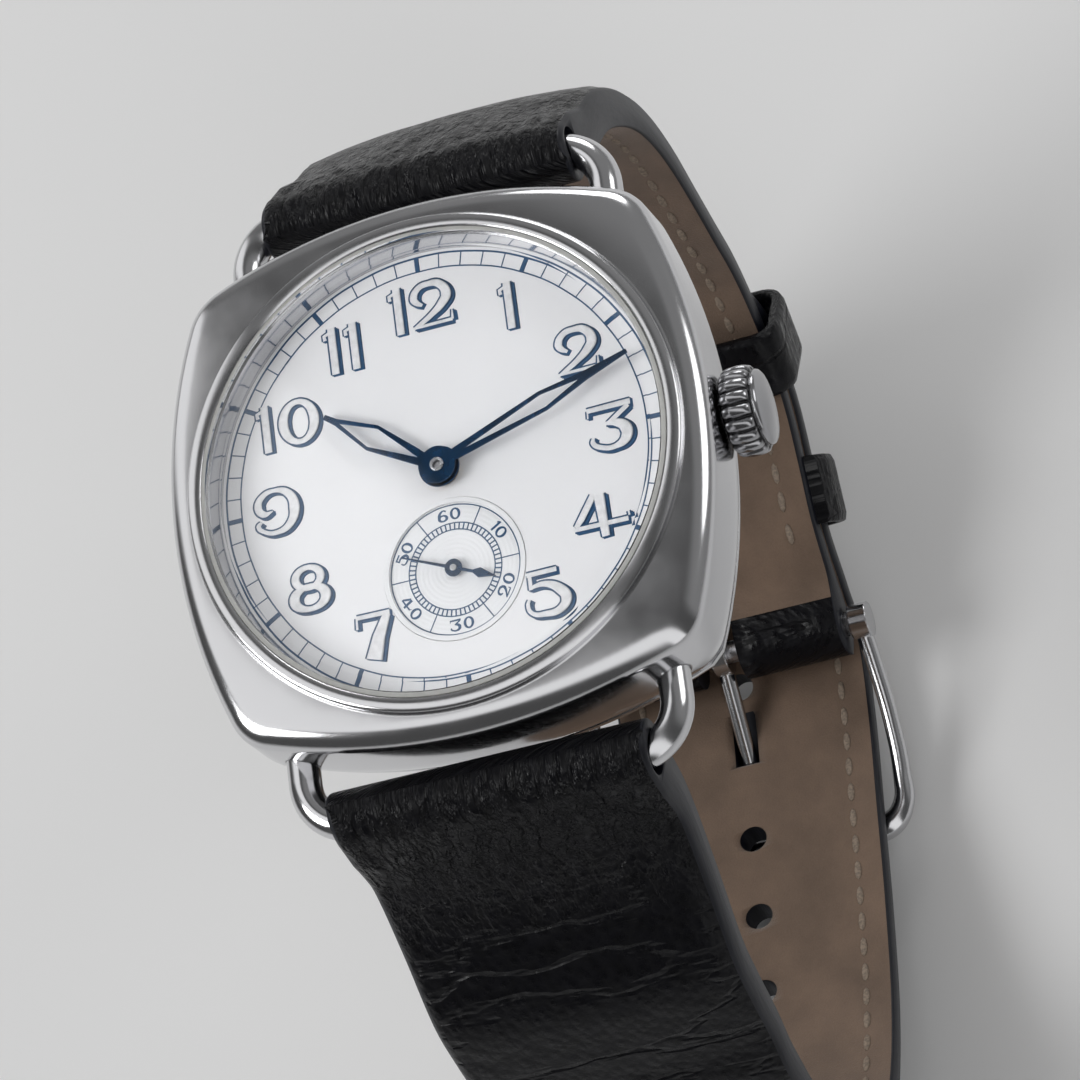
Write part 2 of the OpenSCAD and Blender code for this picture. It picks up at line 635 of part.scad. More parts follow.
// Bridges: flat pieces on the rim, cut to leave the balance free
gap = 0.12;
cock_p = screw_at[6];
module slab(p, q, w) translate([p[0], p[1], bridge_z]) rotate(dir(p, q))
    translate([0, -w / 2, 0]) cube([norm(q - p), w, bridge_t]);
module cock_shape(g) intersection() {
    union() {
        translate(balance_p) disc(1.3 + g, bridge_z, bridge_z + bridge_t);
        slab(balance_p, cock_p * 1.1, 2.2 + 2 * g);
    }
    disc(bridge_r, 0, plate_z);
}
module crown_boss(g) translate(crown_p) disc(keyless_m * (crown_n / 2 + 0.9) + 0.3 + g, bridge_z,
    bridge_z + bridge_t);
module balance_cock() color("gainsboro") difference() {
    cock_shape(0);
    lower_holes();
    screw_holes();
}
module barrel_bridge() color("gainsboro") difference() {
    intersection() {
        union() {
            translate([-20, 0.45, bridge_z]) cube([40, 20, bridge_t]);
            crown_boss(0);
        }
        disc(bridge_r, 0, plate_z);
    }
    disc(1.15 + gap, 0, plate_z);
    translate(barrel_p) {
        disc(keyless_m * (ratchet_n / 2 + 0.9) + 0.1, 0, kw_floor);
        disc(barrel_arbor_r + run, 0, plate_z);
    }
    translate(crown_p) ring(keyless_m * (crown_n / 2 + 0.9) + 0.1, core_r, 0, kw_floor);
    translate([wind_x - 0.1, -1.75, 0]) cube([wind_l + 0.2, 3.5, plate_z]);
    screw_holes();
}
module train_bridge() color("gainsboro") difference() {
    union() {
        difference() {
            intersection() {
                translate([-20, -20, bridge_z]) cube([27, 20.45 - gap, bridge_t]);
                disc(bridge_r, 0, plate_z);
            }
            translate(balance_p) disc(balance_r + 0.2, 0, plate_z);
            crown_boss(gap);
        }
        disc(1.15, bridge_z, bridge_z + bridge_t);
        translate(pallet_p) disc(0.85, bridge_z, bridge_z + bridge_t);
        slab(pallet_p, escape_p, 1.5);
    }
    cock_shape(gap);
    lower_holes();
    screw_holes();
}

// A smooth path through points [y, z, half thickness], in steps of a sixth
function mix(a, b, c, d, t) = 0.5 * (2 * b + (c - a) * t + (2 * a - 5 * b + 4 * c - d) * t * t
    + (3 * b - a - 3 * c + d) * t * t * t);
function path(p) = let (n = len(p) - 1) concat([for (i = [0 : n - 1], k = [0 : 5])
    mix(p[max(i - 1, 0)], p[i], p[i + 1], p[min(i + 2, n)], k / 6)], [p[n]]);
function side(q, s) = [for (i = [0 : len(q) - 1])
    let (d = q[min(i + 1, len(q) - 1)] - q[max(i - 1, 0)], l = norm([d[0], d[1]]))
    [q[i][0] - s * d[1] / l * q[i][2], q[i][1] + s * d[0] / l * q[i][2]]];
function back_to_front(v) = [for (i = [len(v) - 1 : -1 : 0]) v[i]];
function band(p) = let (q = path(p)) concat(side(q, 1), back_to_front(side(q, -1)));

// Solids drawn in the side view and spread along X
module spread(w) rotate([90, 0, 90]) translate([0, 0, -w / 2]) linear_extrude(w) children();
module rod(p, r, w) translate([-w / 2, p[0], p[1]]) rotate([0, 90, 0]) cylinder(r = r, h = w);
module taper() rotate([90, 0, 0]) translate([0, 0, -60]) linear_extrude(120)
    polygon([[-strap_w / 2, 9], [-strap_w / 2, 0], [-tip_w / 2, -42], [-tip_w / 2, -60],
        [tip_w / 2, -60], [tip_w / 2, -42], [strap_w / 2, 0], [strap_w / 2, 9]]);

// Side view of the closed strap
wrap_r = 2.12;
lug_12 = [lug_y, lug_z];
lug_6 = [-lug_y, lug_z];
ht = short_t / 2;
lt = long_t / 2;
loop_s = lug_y / 19.47;
function wide(p) = [for (q = p) [q[0] * loop_s, q[1], q[2]]];
short_path = wide([[19.47, lug_z, 2.05], [22, 1, 2], [25.5, -3.4, 1.8], [27.6, -7.8, 1.6], [28.8, -12, 1.4],
    [29.2, -16, 1.3], [28.9, -20, 1.2], [28.1, -24, ht], [27.2, -28, ht], [26.3, -32, ht],
    [24.8, -35.5, ht], [22.6, -39, ht], [19.5, -41.9, ht], [15.5, -43.5, ht], [12, -44.6, ht],
    [8.5, -46.8, ht], [5.5, -48.1, ht]]);
long_path = wide([[-19.47, lug_z, 2.05], [-21.3, -0.6, 1.95], [-24.6, -4.6, 1.75], [-28.2, -8.3, 1.6],
    [-29.9, -11.4, 1.5], [-31.3, -14.6, 1.4], [-33, -17.8, 1.3], [-35.2, -25, 1.15], [-35.3, -32, lt],
    [-32.6, -38.5, lt], [-28.6, -43, lt], [-22.1, -46.6, lt], [-14.3, -49, lt], [-7.5, -50.5, lt],
    [0, -52.1, lt], [5.6, -52.3, lt], [9, -49.8, lt], [12.3, -47.1, lt], [16.3, -45.75, lt], [20.8, -44, lt],
    [24.5, -40.55, lt], [26.97, -36.6, lt], [28.6, -32.75, lt]]);
pin_p = [5.5 * loop_s, -48.1];
bar_p = [-7.5 * loop_s, -52.8];
fold_r = 2.1;
buckle_a = atan2(bar_p[1] - pin_p[1], bar_p[0] - pin_p[0]);
buckle_l = norm(bar_p - pin_p);

// Buckle coordinates: the first runs from the pin to the crossbar, the second outward
module at_buckle() translate([0, pin_p[0], pin_p[1]]) rotate([buckle_a, 0, 0]) children();
tang_w = cross_r + tang_r + 0.06;
tang_a = atan(tang_w / buckle_l);
swing = 0.6;
module strap_short() color("#1c1c1e") difference() {
    intersection() {
        union() {
            spread(strap_w) polygon(band(short_path));
            rod(lug_12, wrap_r, strap_w);
            rod(pin_p, fold_r, strap_w);
        }
        taper();
    }
    rod(lug_12, wire_r + soft, strap_w + 2);
    rod(pin_p, pin_r + 0.1, strap_w + 2);
    translate([-1.6, pin_p[0] - 8, pin_p[1] - 4]) cube([3.2, 10.4, 8]);
}

// Holes are cut square to the strap at steps along its path
function along(q, i, s) = i + 1 >= len(q) ? [q[i], q[i] - q[i - 1]]
    : let (l = norm([q[i + 1][0] - q[i][0], q[i + 1][1] - q[i][1]]))
    s <= l ? [q[i] + (q[i + 1] - q[i]) * s / l, q[i + 1] - q[i]] : along(q, i + 1, s - l);
used_s = 82;
module hole_at(s) {
    h = along(path(long_path), 0, s);
    translate([0, h[0][0], h[0][1]]) rotate([atan2(h[1][1], h[1][0]), 0, 0])
        cylinder(r = hole_r, h = 4, center = true);
}
end_p = [long_path[22][0], long_path[22][1]];
module tip_cut() translate([0, end_p[0], end_p[1]]) rotate([67, 0, 0]) difference() {
    translate([-20, -tip_w / 2, -3]) cube([40, tip_w, 6]);
    translate([0, -tip_w / 2, -4]) cylinder(r = tip_w / 2, h = 8);
}
module strap_long() color("#1c1c1e") difference() {
    intersection() {
        union() {
            spread(strap_w) polygon(band(long_path));
            rod(lug_6, wrap_r, strap_w);
        }
        taper();
    }
    rod(lug_6, wire_r + soft, strap_w + 2);
    tip_cut();
    for (i = [-4, -3, -2, -1, 1, 2]) hole_at(used_s + i * hole_pitch);
    at_buckle() rotate([tang_a, 0, 0]) translate([-tang_r - soft, 4, -tang_r - soft])
        cube([2 * (tang_r + soft), 8, 2 * (tang_r + soft) + swing]);
}

// The free keeper is a flat loop round both layers; the fixed one is sewn to the short strap's edges
slack = 0.5;
loop_w = tip_w + 1;
loop_lo = ht + slack;
loop_h = short_t + soft + long_t + 2 * slack;
leg_in = 0.6;
module block(w, z0, z1, l) translate([-w / 2, -l / 2, z0]) cube([w, l, z1 - z0]);
module loop_free() difference() {
    block(loop_w + 2 * keeper_t, -loop_lo - keeper_t, loop_h - loop_lo + keeper_t, keeper_w);
    block(loop_w, -loop_lo, loop_h - loop_lo, 2 * keeper_w);
}
module loop_fixed() difference() {
    block(loop_w + 2 * keeper_t, -leg_in, loop_h - loop_lo + keeper_t, keeper_w);
    block(loop_w, ht, loop_h - loop_lo, 2 * keeper_w);
    block(tip_w + 0.1, -2, ht + 1, 2 * keeper_w);
}
module keeper_fixed() color("#1c1c1e") translate([0, 13.9 * loop_s, -44]) rotate([-161, 0, 0])
    loop_fixed();
module keeper_free() color("#1c1c1e") translate([0, 22.45 * loop_s, -38.87]) rotate([-129.6, 0, 0])
    loop_free();

// Buckle: a bar through the strap's fold, a frame turning on it and a tang
module buckle_bar() color("silver") rod(pin_p, pin_r, tip_w + 0.6 + 2 * arm_t - 0.8);
arm_in = tip_w / 2 + soft;
module buckle_frame() color("silver") difference() {
    union() {
        for (k = [-1, 1]) {
            translate([k * (arm_in + arm_t / 2), 0, 0]) {
                rod(pin_p, 1.5, arm_t);
                rod(bar_p, cross_r, arm_t);
                at_buckle() translate([-arm_t / 2, 0, -0.9]) cube([arm_t, buckle_l, 1.8]);
            }
        }
        rod(bar_p, cross_r, 2 * arm_in + 0.2);
    }
    rod(pin_p, pin_r + run, tip_w + 0.6 + 2 * arm_t - 0.6);
}
module buckle_tang() color("silver") difference() {
    union() {
        rod(pin_p, 1.45, 2 * tang_r);
        at_buckle() rotate([tang_a, 0, 0]) rotate([-90, 0, 0]) cylinder(r = tang_r, h = buckle_l + 0.6);
        at_buckle() rotate([tang_a, 0, 0]) translate([0, buckle_l + 0.6, 0]) sphere(r = tang_r);
    }
    rod(pin_p, pin_r + run, 4);
}

case_middle();
case_back();
back_gasket();
crystal();
crystal_gasket();
rehaut();
lug_wire_12();
lug_wire_6();
crown_tube();
crown();
stem();
dial();
sub_dial();
hour_hand();
minute_hand();
seconds_hand();
cannon_pinion();
minute_wheel();
hour_wheel();
main_plate();
movement_ring();
case_clamps();
barrel();
centre_wheel();
third_wheel();
fourth_wheel();
escape_wheel();
pallet_fork();
balance();
hairspring();
balance_cock();
barrel_bridge();
train_bridge();
jewels();
bridge_screws();
ratchet_wheel();
crown_wheel();
winding_pinion();
sliding_clutch();
strap_short();
strap_long();
keeper_fixed();
keeper_free();
buckle_bar();
buckle_frame();
buckle_tang();
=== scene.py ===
import bpy
import bmesh
import json
import math
from mathutils import Matrix, Vector, noise


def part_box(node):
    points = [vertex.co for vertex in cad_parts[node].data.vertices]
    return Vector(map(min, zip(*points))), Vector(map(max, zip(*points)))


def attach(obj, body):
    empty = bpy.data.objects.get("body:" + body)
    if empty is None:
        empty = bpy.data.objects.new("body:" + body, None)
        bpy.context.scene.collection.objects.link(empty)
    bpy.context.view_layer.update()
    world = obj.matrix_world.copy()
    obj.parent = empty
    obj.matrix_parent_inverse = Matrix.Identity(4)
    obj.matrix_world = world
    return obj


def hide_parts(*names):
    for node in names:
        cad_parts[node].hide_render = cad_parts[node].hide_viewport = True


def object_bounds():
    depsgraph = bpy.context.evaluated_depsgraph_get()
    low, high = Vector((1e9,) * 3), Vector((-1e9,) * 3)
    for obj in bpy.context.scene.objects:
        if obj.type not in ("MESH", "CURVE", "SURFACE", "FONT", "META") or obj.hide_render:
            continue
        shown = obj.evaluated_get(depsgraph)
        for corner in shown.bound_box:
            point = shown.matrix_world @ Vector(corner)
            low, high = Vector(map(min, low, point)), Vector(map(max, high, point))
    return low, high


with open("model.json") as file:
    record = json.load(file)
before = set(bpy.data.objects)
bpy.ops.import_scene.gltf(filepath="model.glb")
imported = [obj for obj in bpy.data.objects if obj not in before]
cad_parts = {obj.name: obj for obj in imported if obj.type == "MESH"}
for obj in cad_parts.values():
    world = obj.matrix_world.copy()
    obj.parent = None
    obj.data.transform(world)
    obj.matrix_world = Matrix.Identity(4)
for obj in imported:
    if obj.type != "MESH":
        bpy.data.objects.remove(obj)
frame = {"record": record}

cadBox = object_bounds()
mm = 0.001
scene = bpy.context.scene
print("frame loaded")


# Camera and light, in millimetres and watts

camera = {
    "place": (94.91, -124.67, 289.80),
    "right": (0.9312, -0.1197, -0.3442),
    "down": (-0.2337, -0.9209, -0.3121),
    "forward": (-0.2796, 0.3711, -0.8855),
    "lens": 183.33,
    "sensor": 36,
    "near": 10,
}
lights = {
    "key": {"place": (-310, -70, 290), "size": 220, "power": 0.80},
    "fill": {"place": (330, 120, 190), "size": 200, "power": 0.27},
    "rim": {"place": (40, 360, 120), "size": 180, "power": 0.32},
}


def placeCamera():
    data = bpy.data.cameras.new("camera")
    data.lens = camera["lens"]
    data.sensor_width = camera["sensor"]
    data.clip_start = camera["near"] * mm
    obj = bpy.data.objects.new("camera", data)
    right, down, forward = (Vector(camera[side]).normalized() for side in ("right", "down", "forward"))
    turn = Matrix((right, -down, -forward)).transposed().to_4x4()
    obj.matrix_world = Matrix.Translation(Vector(camera["place"]) * mm) @ turn
    scene.collection.objects.link(obj)
    scene.camera = obj


def placeLight(name, light):  # a round lamp that looks at the watch
    data = bpy.data.lights.new(name, "AREA")
    data.shape = "DISK"
    data.size = light["size"] * mm
    data.energy = light["power"]
    obj = bpy.data.objects.new(name, data)
    obj.location = Vector(light["place"]) * mm
    obj.rotation_euler = (-Vector(light["place"])).to_track_quat("-Z", "Y").to_euler()
    scene.collection.objects.link(obj)


placeCamera()
for name, light in lights.items():
    placeLight(name, light)
scene.view_settings.view_transform = "Standard"
print("camera and lights placed")


# Material helpers

def feed(tree, target, value):  # links a socket, sets a plain value
    if isinstance(value, bpy.types.NodeSocket):
        tree.links.new(value, target)
    elif target.type == "RGBA":
        target.default_value = (*value, 1)
    else:
        target.default_value = value


def addNode(tree, kind, inputs=None, **settings):
    node = tree.nodes.new(kind)
    for key, value in settings.items():
        setattr(node, key, value)
    for key, value in (inputs or {}).items():
        feed(tree, node.inputs[key], value)
    return node


def dress(tree, inputs):
    for key, value in inputs.items():
        feed(tree, tree.nodes["Principled BSDF"].inputs[key], value)


def startMaterial(name, finish):  # a pair of roughnesses is spread later
    material = bpy.data.materials.new(name)
    material.use_nodes = True
    tree = material.node_tree
    dress(tree, {"Base Color": finish["color"], "Metallic": finish.get("metallic", 0.0)})
    if not isinstance(finish["roughness"], tuple):
        dress(tree, {"Roughness": finish["roughness"]})
    dress(tree, finish.get("shader", {}))
    return material, tree


def mapOnto(tree, source, scale, shift=(0, 0, 0), turn=0.0):
    inputs = {"Vector": source, "Location": shift, "Rotation": (0, 0, turn), "Scale": scale}
    return addNode(tree, "ShaderNodeMapping", inputs).outputs["Vector"]


def objectCoords(tree, scale=(1, 1, 1), shift=(0, 0, 0), turn=0.0):
    return mapOnto(tree, addNode(tree, "ShaderNodeTexCoord").outputs["Object"], scale, shift, turn)


def strapCoords(tree, scale=(1, 1, 1)):  # the strap's own map, in millimetres
    return mapOnto(tree, addNode(tree, "ShaderNodeUVMap", uv_map="strapMm").outputs["UV"], scale)


def noiseOn(tree, vector, scale, detail=4.0, rough=0.55):
    inputs = {"Vector": vector, "Scale": scale, "Detail": detail, "Roughness": rough}
    return addNode(tree, "ShaderNodeTexNoise", inputs).outputs["Fac"]


def waveOn(tree, vector, pitch, **settings):
    inputs = {"Vector": vector, "Scale": math.pi / (10 * pitch * mm), "Distortion": 0.0}
    return addNode(tree, "ShaderNodeTexWave", inputs, **settings).outputs["Fac"]


def spread(tree, value, low, high, start=0.0, stop=1.0, **settings):
    inputs = {"Value": value, "From Min": start, "From Max": stop, "To Min": low, "To Max": high}
    return addNode(tree, "ShaderNodeMapRange", inputs, **settings).outputs["Result"]


def blendColors(tree, value, *stops):  # two stops, each a place and a colour
    ramp = addNode(tree, "ShaderNodeValToRGB", {"Fac": value})
    for point, (place, color) in zip(ramp.color_ramp.elements, stops):
        point.position = place
        point.color = (*color, 1)
    return ramp.outputs["Color"]


def combine(tree, operation, a, b=0.0):
    return addNode(tree, "ShaderNodeMath", {0: a, 1: b}, operation=operation).outputs["Value"]


def addUp(tree, *parts, base=0.0):  # each part is a value and its share
    total = base
    for value, share in parts:
        total = combine(tree, "ADD", total, combine(tree, "MULTIPLY", value, share))
    return total


def awayFrom(tree, place, keep):  # distance from the axis that keep leaves out
    flat = addNode(tree, "ShaderNodeVectorMath", {0: place, 1: keep}, operation="MULTIPLY")
    away = addNode(tree, "ShaderNodeVectorMath", {0: flat.outputs["Vector"]}, operation="LENGTH")
    return away.outputs["Value"]


def roughen(tree, height, finish):  # bump is a depth in mm and a strength
    distance, strength = finish["bump"]
    inputs = {"Height": height, "Distance": distance * mm, "Strength": strength}
    if "edge" in finish:  # softens the corners of a solid
        soft = addNode(tree, "ShaderNodeBevel", {"Radius": finish["edge"] * mm}, samples=6)
        inputs["Normal"] = soft.outputs["Normal"]
    dress(tree, {"Normal": addNode(tree, "ShaderNodeBump", inputs).outputs["Normal"]})


# Metals with hair lines; hair, haze, cloud, grain and wear are a noise's scale and detail

steel = {"color": (0.63, 0.63, 0.645), "metallic": 1.0, "roughness": (0.10, 0.17), "haze": (260, 5),
         "hair": (9000, 2), "stretch": (1, 0.06, 0.3), "turn": 0.6, "bump": (0.04, 0.006), "edge": 0.18}
satin = {"color": (0.50, 0.50, 0.52), "metallic": 1.0, "roughness": (0.24, 0.36),
         "hair": (7000, 3), "stretch": (1, 0.05, 1), "turn": 0.0, "bump": (0.06, 0.05), "edge": 0.12}
nickel = {"color": (0.66, 0.64, 0.60), "metallic": 1.0, "roughness": (0.22, 0.34), "stripe": 1.8752,
          "hair": (9000, 2), "stretch": (0.05, 1, 1), "turn": 0.7, "bump": (0.05, 0.35), "edge": 0.12}
middling = (0.3, 0.7)  # where most of a noise's values lie


def brushedMetal(name, finish):
    material, tree = startMaterial(name, finish)
    hair = noiseOn(tree, objectCoords(tree, finish["stretch"], turn=finish["turn"]), *finish["hair"])
    haze = noiseOn(tree, objectCoords(tree), *finish["haze"]) if "haze" in finish else hair
    dress(tree, {"Roughness": spread(tree, haze, *finish["roughness"], *middling)})
    if "stripe" in finish:
        stripe = waveOn(tree, objectCoords(tree, turn=finish["turn"]), finish["stripe"],
                        wave_profile="SAW", bands_direction="X")
        hair = addUp(tree, (stripe, 0.5), (hair, 0.3))
    roughen(tree, hair, finish)
    return material


def flutedSteel(name, finish, axisHeight, grooveRadius, capPlace):
    # the flutes' grooves are darkened toward their bottoms: painted shade in the recesses, kept off the
    # cap's face
    material = brushedMetal(name, finish)
    tree = material.node_tree
    place = objectCoords(tree, shift=(0, 0, -axisHeight))
    split = addNode(tree, "ShaderNodeSeparateXYZ", {"Vector": place})
    low, high = (grooveRadius + edge * mm for edge in finish["grooveEdges"])
    deep = spread(tree, awayFrom(tree, place, (0, 1, 1)), 1.0, 0.0, low, high)
    side = spread(tree, split.outputs["X"], 1.0, 0.0, capPlace - finish["capEdge"] * mm, capPlace)
    grooveShadePainted = combine(tree, "MULTIPLY", deep, side)
    dress(tree, {"Base Color": blendColors(tree, grooveShadePainted, (0.0, finish["color"]), (1.0, finish["dark"]))})
    return material


# Finishes that cloud between a dark and a full colour, over their own grain

blueSteel = {"color": (0.012, 0.065, 0.16), "dark": (0.0066, 0.03575, 0.088), "metallic": 1.0,
             "roughness": (0.2, 0.32), "cloud": (420, 3), "grain": (9000, 2), "bump": (0.03, 0.05),
             "edge": 0.05}
gilt = {"color": (0.70, 0.50, 0.20), "dark": (0.70, 0.44, 0.15), "metallic": 1.0,
        "roughness": (0.22, 0.36), "cloud": (600, 4), "grain": (14000, 2), "bump": (0.03, 0.08),
        "edge": 0.06}
lacquer = {"color": (0.79, 0.79, 0.805), "dark": (0.77025, 0.77025, 0.784875), "roughness": 0.34,
           "shader": {"Coat Weight": 0.25, "Coat Roughness": 0.12}, "cloud": (180, 3), "grain": (5200, 3),
           "bump": (0.05, 0.012)}
ink = {"color": (0.003, 0.062, 0.16), "dark": (0.0024, 0.0496, 0.128), "roughness": 0.4,
       "cloud": (2200, 3), "bump": (0.02, 0.05)}
inkWhite = {**ink, "color": lacquer["color"], "dark": (0.632, 0.632, 0.644), "roughness": 0.36}
moulded = {"cloud": (1500, 3), "grain": (6000, 3), "bump": (0.03, 0.12)}
nylon = {**moulded, "color": (0.62, 0.62, 0.60), "dark": (0.527, 0.527, 0.51), "roughness": 0.4,
         "shader": {"Transmission Weight": 0.3}}
rubber = {**moulded, "color": (0.02, 0.02, 0.022), "dark": (0.017, 0.017, 0.0187), "roughness": 0.6}
ruby = {**moulded, "color": (0.45, 0.012, 0.05), "dark": (0.3825, 0.0102, 0.0425), "roughness": 0.08,
        "shader": {"Transmission Weight": 0.4, "IOR": 1.76}}
edgePaint = {"color": (0.006, 0.007, 0.013), "dark": (0.0036, 0.0042, 0.0078), "roughness": 0.44,
             "shader": {"Specular IOR Level": 0.35}, "map": (2.5, 0.5, 1), "cloud": (1.0, 4),
             "bump": (0.1, 0.4)}
thread = {"color": (0.30, 0.235, 0.18), "dark": (0.18, 0.141, 0.108), "roughness": 0.75,
          "cloud": (5200, 2), "stops": (0.35, 0.65), "bump": (0.08, 0.5)}


def cloudedSkin(name, finish):
    material, tree = startMaterial(name, finish)
    place = strapCoords(tree, finish["map"]) if "map" in finish else objectCoords(tree)
    cloud = noiseOn(tree, place, *finish["cloud"])
    grain = noiseOn(tree, place, *finish["grain"]) if "grain" in finish else cloud
    start, stop = finish.get("stops", middling)
    dress(tree, {"Base Color": blendColors(tree, cloud, (start, finish["dark"]), (stop, finish["color"]))})
    if isinstance(finish["roughness"], tuple):
        dress(tree, {"Roughness": spread(tree, cloud, *finish["roughness"], *middling)})
    roughen(tree, grain, finish)
    return material


def steelArbor(name, axis, reach):  # a gilt wheel whose middle is steel
    material = cloudedSkin(name, gilt)
    tree = material.node_tree
    away = awayFrom(tree, objectCoords(tree, shift=(-axis[0], -axis[1], 0)), (1, 1, 0))
    mask = spread(tree, away, 1.0, 0.0, reach * 0.97, reach)
    brass = tree.nodes["Principled BSDF"].inputs["Base Color"].links[0].from_socket
    mix = addNode(tree, "ShaderNodeMix", {0: mask, 6: brass, 7: steel["color"]}, data_type="RGBA")
    dress(tree, {"Base Color": mix.outputs[2]})
    return material


# The small dial's turned rings, and the crystal

subCentre = (0, -6.3)
silver = {"color": (0.79, 0.795, 0.81), "metallic": 0.12, "roughness": (0.26, 0.38), "pitch": 0.27635,
          "cloud": (700, 3), "bump": (0.01, 0.5)}
glass = {"color": (0.985, 0.99, 0.995), "roughness": 0.0,
         "shader": {"Transmission Weight": 1.0, "IOR": 1.49}, "wear": (900, 6), "wornRoughness": 0.02,
         "wornEdges": (0.5, 0.8), "shadow": (0.96, 0.96, 0.96)}


def turnedSilver(name, finish):
    material, tree = startMaterial(name, finish)
    around = objectCoords(tree, shift=(-subCentre[0] * mm, -subCentre[1] * mm, 0))
    rings = waveOn(tree, around, finish["pitch"], wave_type="RINGS", rings_direction="Z",
                   wave_profile="SIN")
    cloud = noiseOn(tree, objectCoords(tree), *finish["cloud"])
    dress(tree, {"Roughness": spread(tree, cloud, *finish["roughness"])})
    roughen(tree, rings, finish)
    return material


def clearGlass(name, finish):  # its shadow is nearly clear, so the dial stays lit
    material, tree = startMaterial(name, finish)
    wear = noiseOn(tree, objectCoords(tree), *finish["wear"])
    dress(tree, {"Roughness": spread(tree, wear, 0.0, finish["wornRoughness"], *finish["wornEdges"])})
    path = addNode(tree, "ShaderNodeLightPath")
    through = addNode(tree, "ShaderNodeBsdfTransparent", {"Color": finish["shadow"]})
    skin = tree.nodes["Principled BSDF"]
    parts = {"Fac": path.outputs["Is Shadow Ray"], 1: skin.outputs["BSDF"], 2: through.outputs["BSDF"]}
    mix = addNode(tree, "ShaderNodeMixShader", parts)
    feed(tree, tree.nodes["Material Output"].inputs["Surface"], mix.outputs["Shader"])
    return material


# Leather and its lining. Each pattern has its cells per millimetre across and along the strap, a line
# pattern also its width in the noise and its depth; shares say how much a pattern counts.

leather = {"color": (0.0032, 0.0032, 0.004), "worn": (0.006, 0.006, 0.008), "roughness": (0.20, 0.40),
           "shader": {"Specular IOR Level": 0.18}, "foldEdges": (14, 21), "bump": (0.17, 0.8),
           "pebble": (1.9, 1.6, 1), "pebbleMelt": 0.35, "pebbleEdges": (0.1, 0.85), "pebbleShare": 0.30,
           "fine": (6, 6, 1), "fineShare": 0.16, "wear": (0.9, 0.9, 1), "wearEdges": (0.3, 0.75),
           "foldLines": [((0.55, 0.24, 1), 0.065, 1.6), ((1.5, 0.8, 1), 0.075, 0.5)],
           "bandLines": [((0.055, 0.20, 1), 0.025, 0.7)]}
lining = {"color": (0.20, 0.132, 0.09), "dark": (0.125, 0.082, 0.055), "roughness": 0.78,
          "shader": {"Sheen Weight": 0.25}, "cloud": (0.22, 0.18, 1), "cloudShare": 0.75,
          "nap": (7, 7, 1), "napShare": 0.25, "stops": (0.34, 0.64), "bump": (0.10, 0.6)}


def creaseLines(tree, scale, width, where):  # thin lines where a noise crosses its middle
    wander = noiseOn(tree, strapCoords(tree, scale), 1.0, 4, 0.5)
    away = combine(tree, "ABSOLUTE", combine(tree, "SUBTRACT", wander, 0.5))
    return combine(tree, "MULTIPLY", spread(tree, away, 1.0, 0.0, 0.0, width), where)


def blackLeather(name, finish):
    material, tree = startMaterial(name, finish)
    place = strapCoords(tree, finish["pebble"])
    inputs = {"Vector": place, "Scale": 1.0, "Randomness": 1.0, "Smoothness": finish["pebbleMelt"]}
    cells = addNode(tree, "ShaderNodeTexVoronoi", inputs, feature="SMOOTH_F1")
    pebble = spread(tree, cells.outputs["Distance"], 1.0, 0.0, *finish["pebbleEdges"])
    fine = noiseOn(tree, strapCoords(tree, finish["fine"]), 1.0, 4, 0.6)
    wear = noiseOn(tree, strapCoords(tree, finish["wear"]), 1.0, 3)
    split = addNode(tree, "ShaderNodeSeparateXYZ", {"Vector": strapCoords(tree)})
    fold = spread(tree, split.outputs["Y"], 1.0, 0.0, *finish["foldEdges"])
    flat = combine(tree, "SUBTRACT", 1.0, fold)
    parts = [(pebble, finish["pebbleShare"]), (fine, finish["fineShare"])]
    for where, lines in ((fold, finish["foldLines"]), (flat, finish["bandLines"])):
        parts += [(creaseLines(tree, scale, width, where), -depth) for scale, width, depth in lines]
    low, high = finish["roughness"]
    start, stop = finish["wearEdges"]
    dress(tree, {"Base Color": blendColors(tree, wear, (start, finish["color"]), (stop, finish["worn"])),
                 "Roughness": spread(tree, pebble, high, low)})
    roughen(tree, addUp(tree, *parts), finish)
    return material


def suedeLining(name, finish):
    material, tree = startMaterial(name, finish)
    cloud = noiseOn(tree, strapCoords(tree, finish["cloud"]), 1.0, 6, 0.6)
    nap = noiseOn(tree, strapCoords(tree, finish["nap"]), 1.0, 4, 0.7)
    shade = addUp(tree, (cloud, finish["cloudShare"]), (nap, finish["napShare"]))
    start, stop = finish["stops"]
    dress(tree, {"Base Color": blendColors(tree, shade, (start, finish["dark"]), (stop, finish["color"]))})
    roughen(tree, nap, finish)
    return material


finishes = {
    "steel": brushedMetal("steelPolished", steel),
    "satin": brushedMetal("steelSatin", satin),
    "satinUp": brushedMetal("steelSatinTurned", {**satin, "stretch": (1, 1, 0.05)}),
    "nickel": brushedMetal("nickelStriped", nickel),
    "blued": cloudedSkin("steelBlued", blueSteel),
    "gilt": cloudedSkin("brassGilt", gilt),
    "lacquer": cloudedSkin("dialLacquer", lacquer),
    "ink": cloudedSkin("inkBlue", ink),
    "inkWhite": cloudedSkin("inkWhite", inkWhite),
    "nylon": cloudedSkin("gasketNylon", nylon),
    "rubber": cloudedSkin("gasketRubber", rubber),
    "ruby": cloudedSkin("rubyPolished", ruby),
    "edge": cloudedSkin("leatherEdge", edgePaint),
    "thread": cloudedSkin("threadPale", thread),
    "silver": turnedSilver("silverTurned", silver),
    "glass": clearGlass("crystalClear", glass),
    "leather": blackLeather("leatherBlack", leather),
    "lining": suedeLining("leatherLining", lining),
}
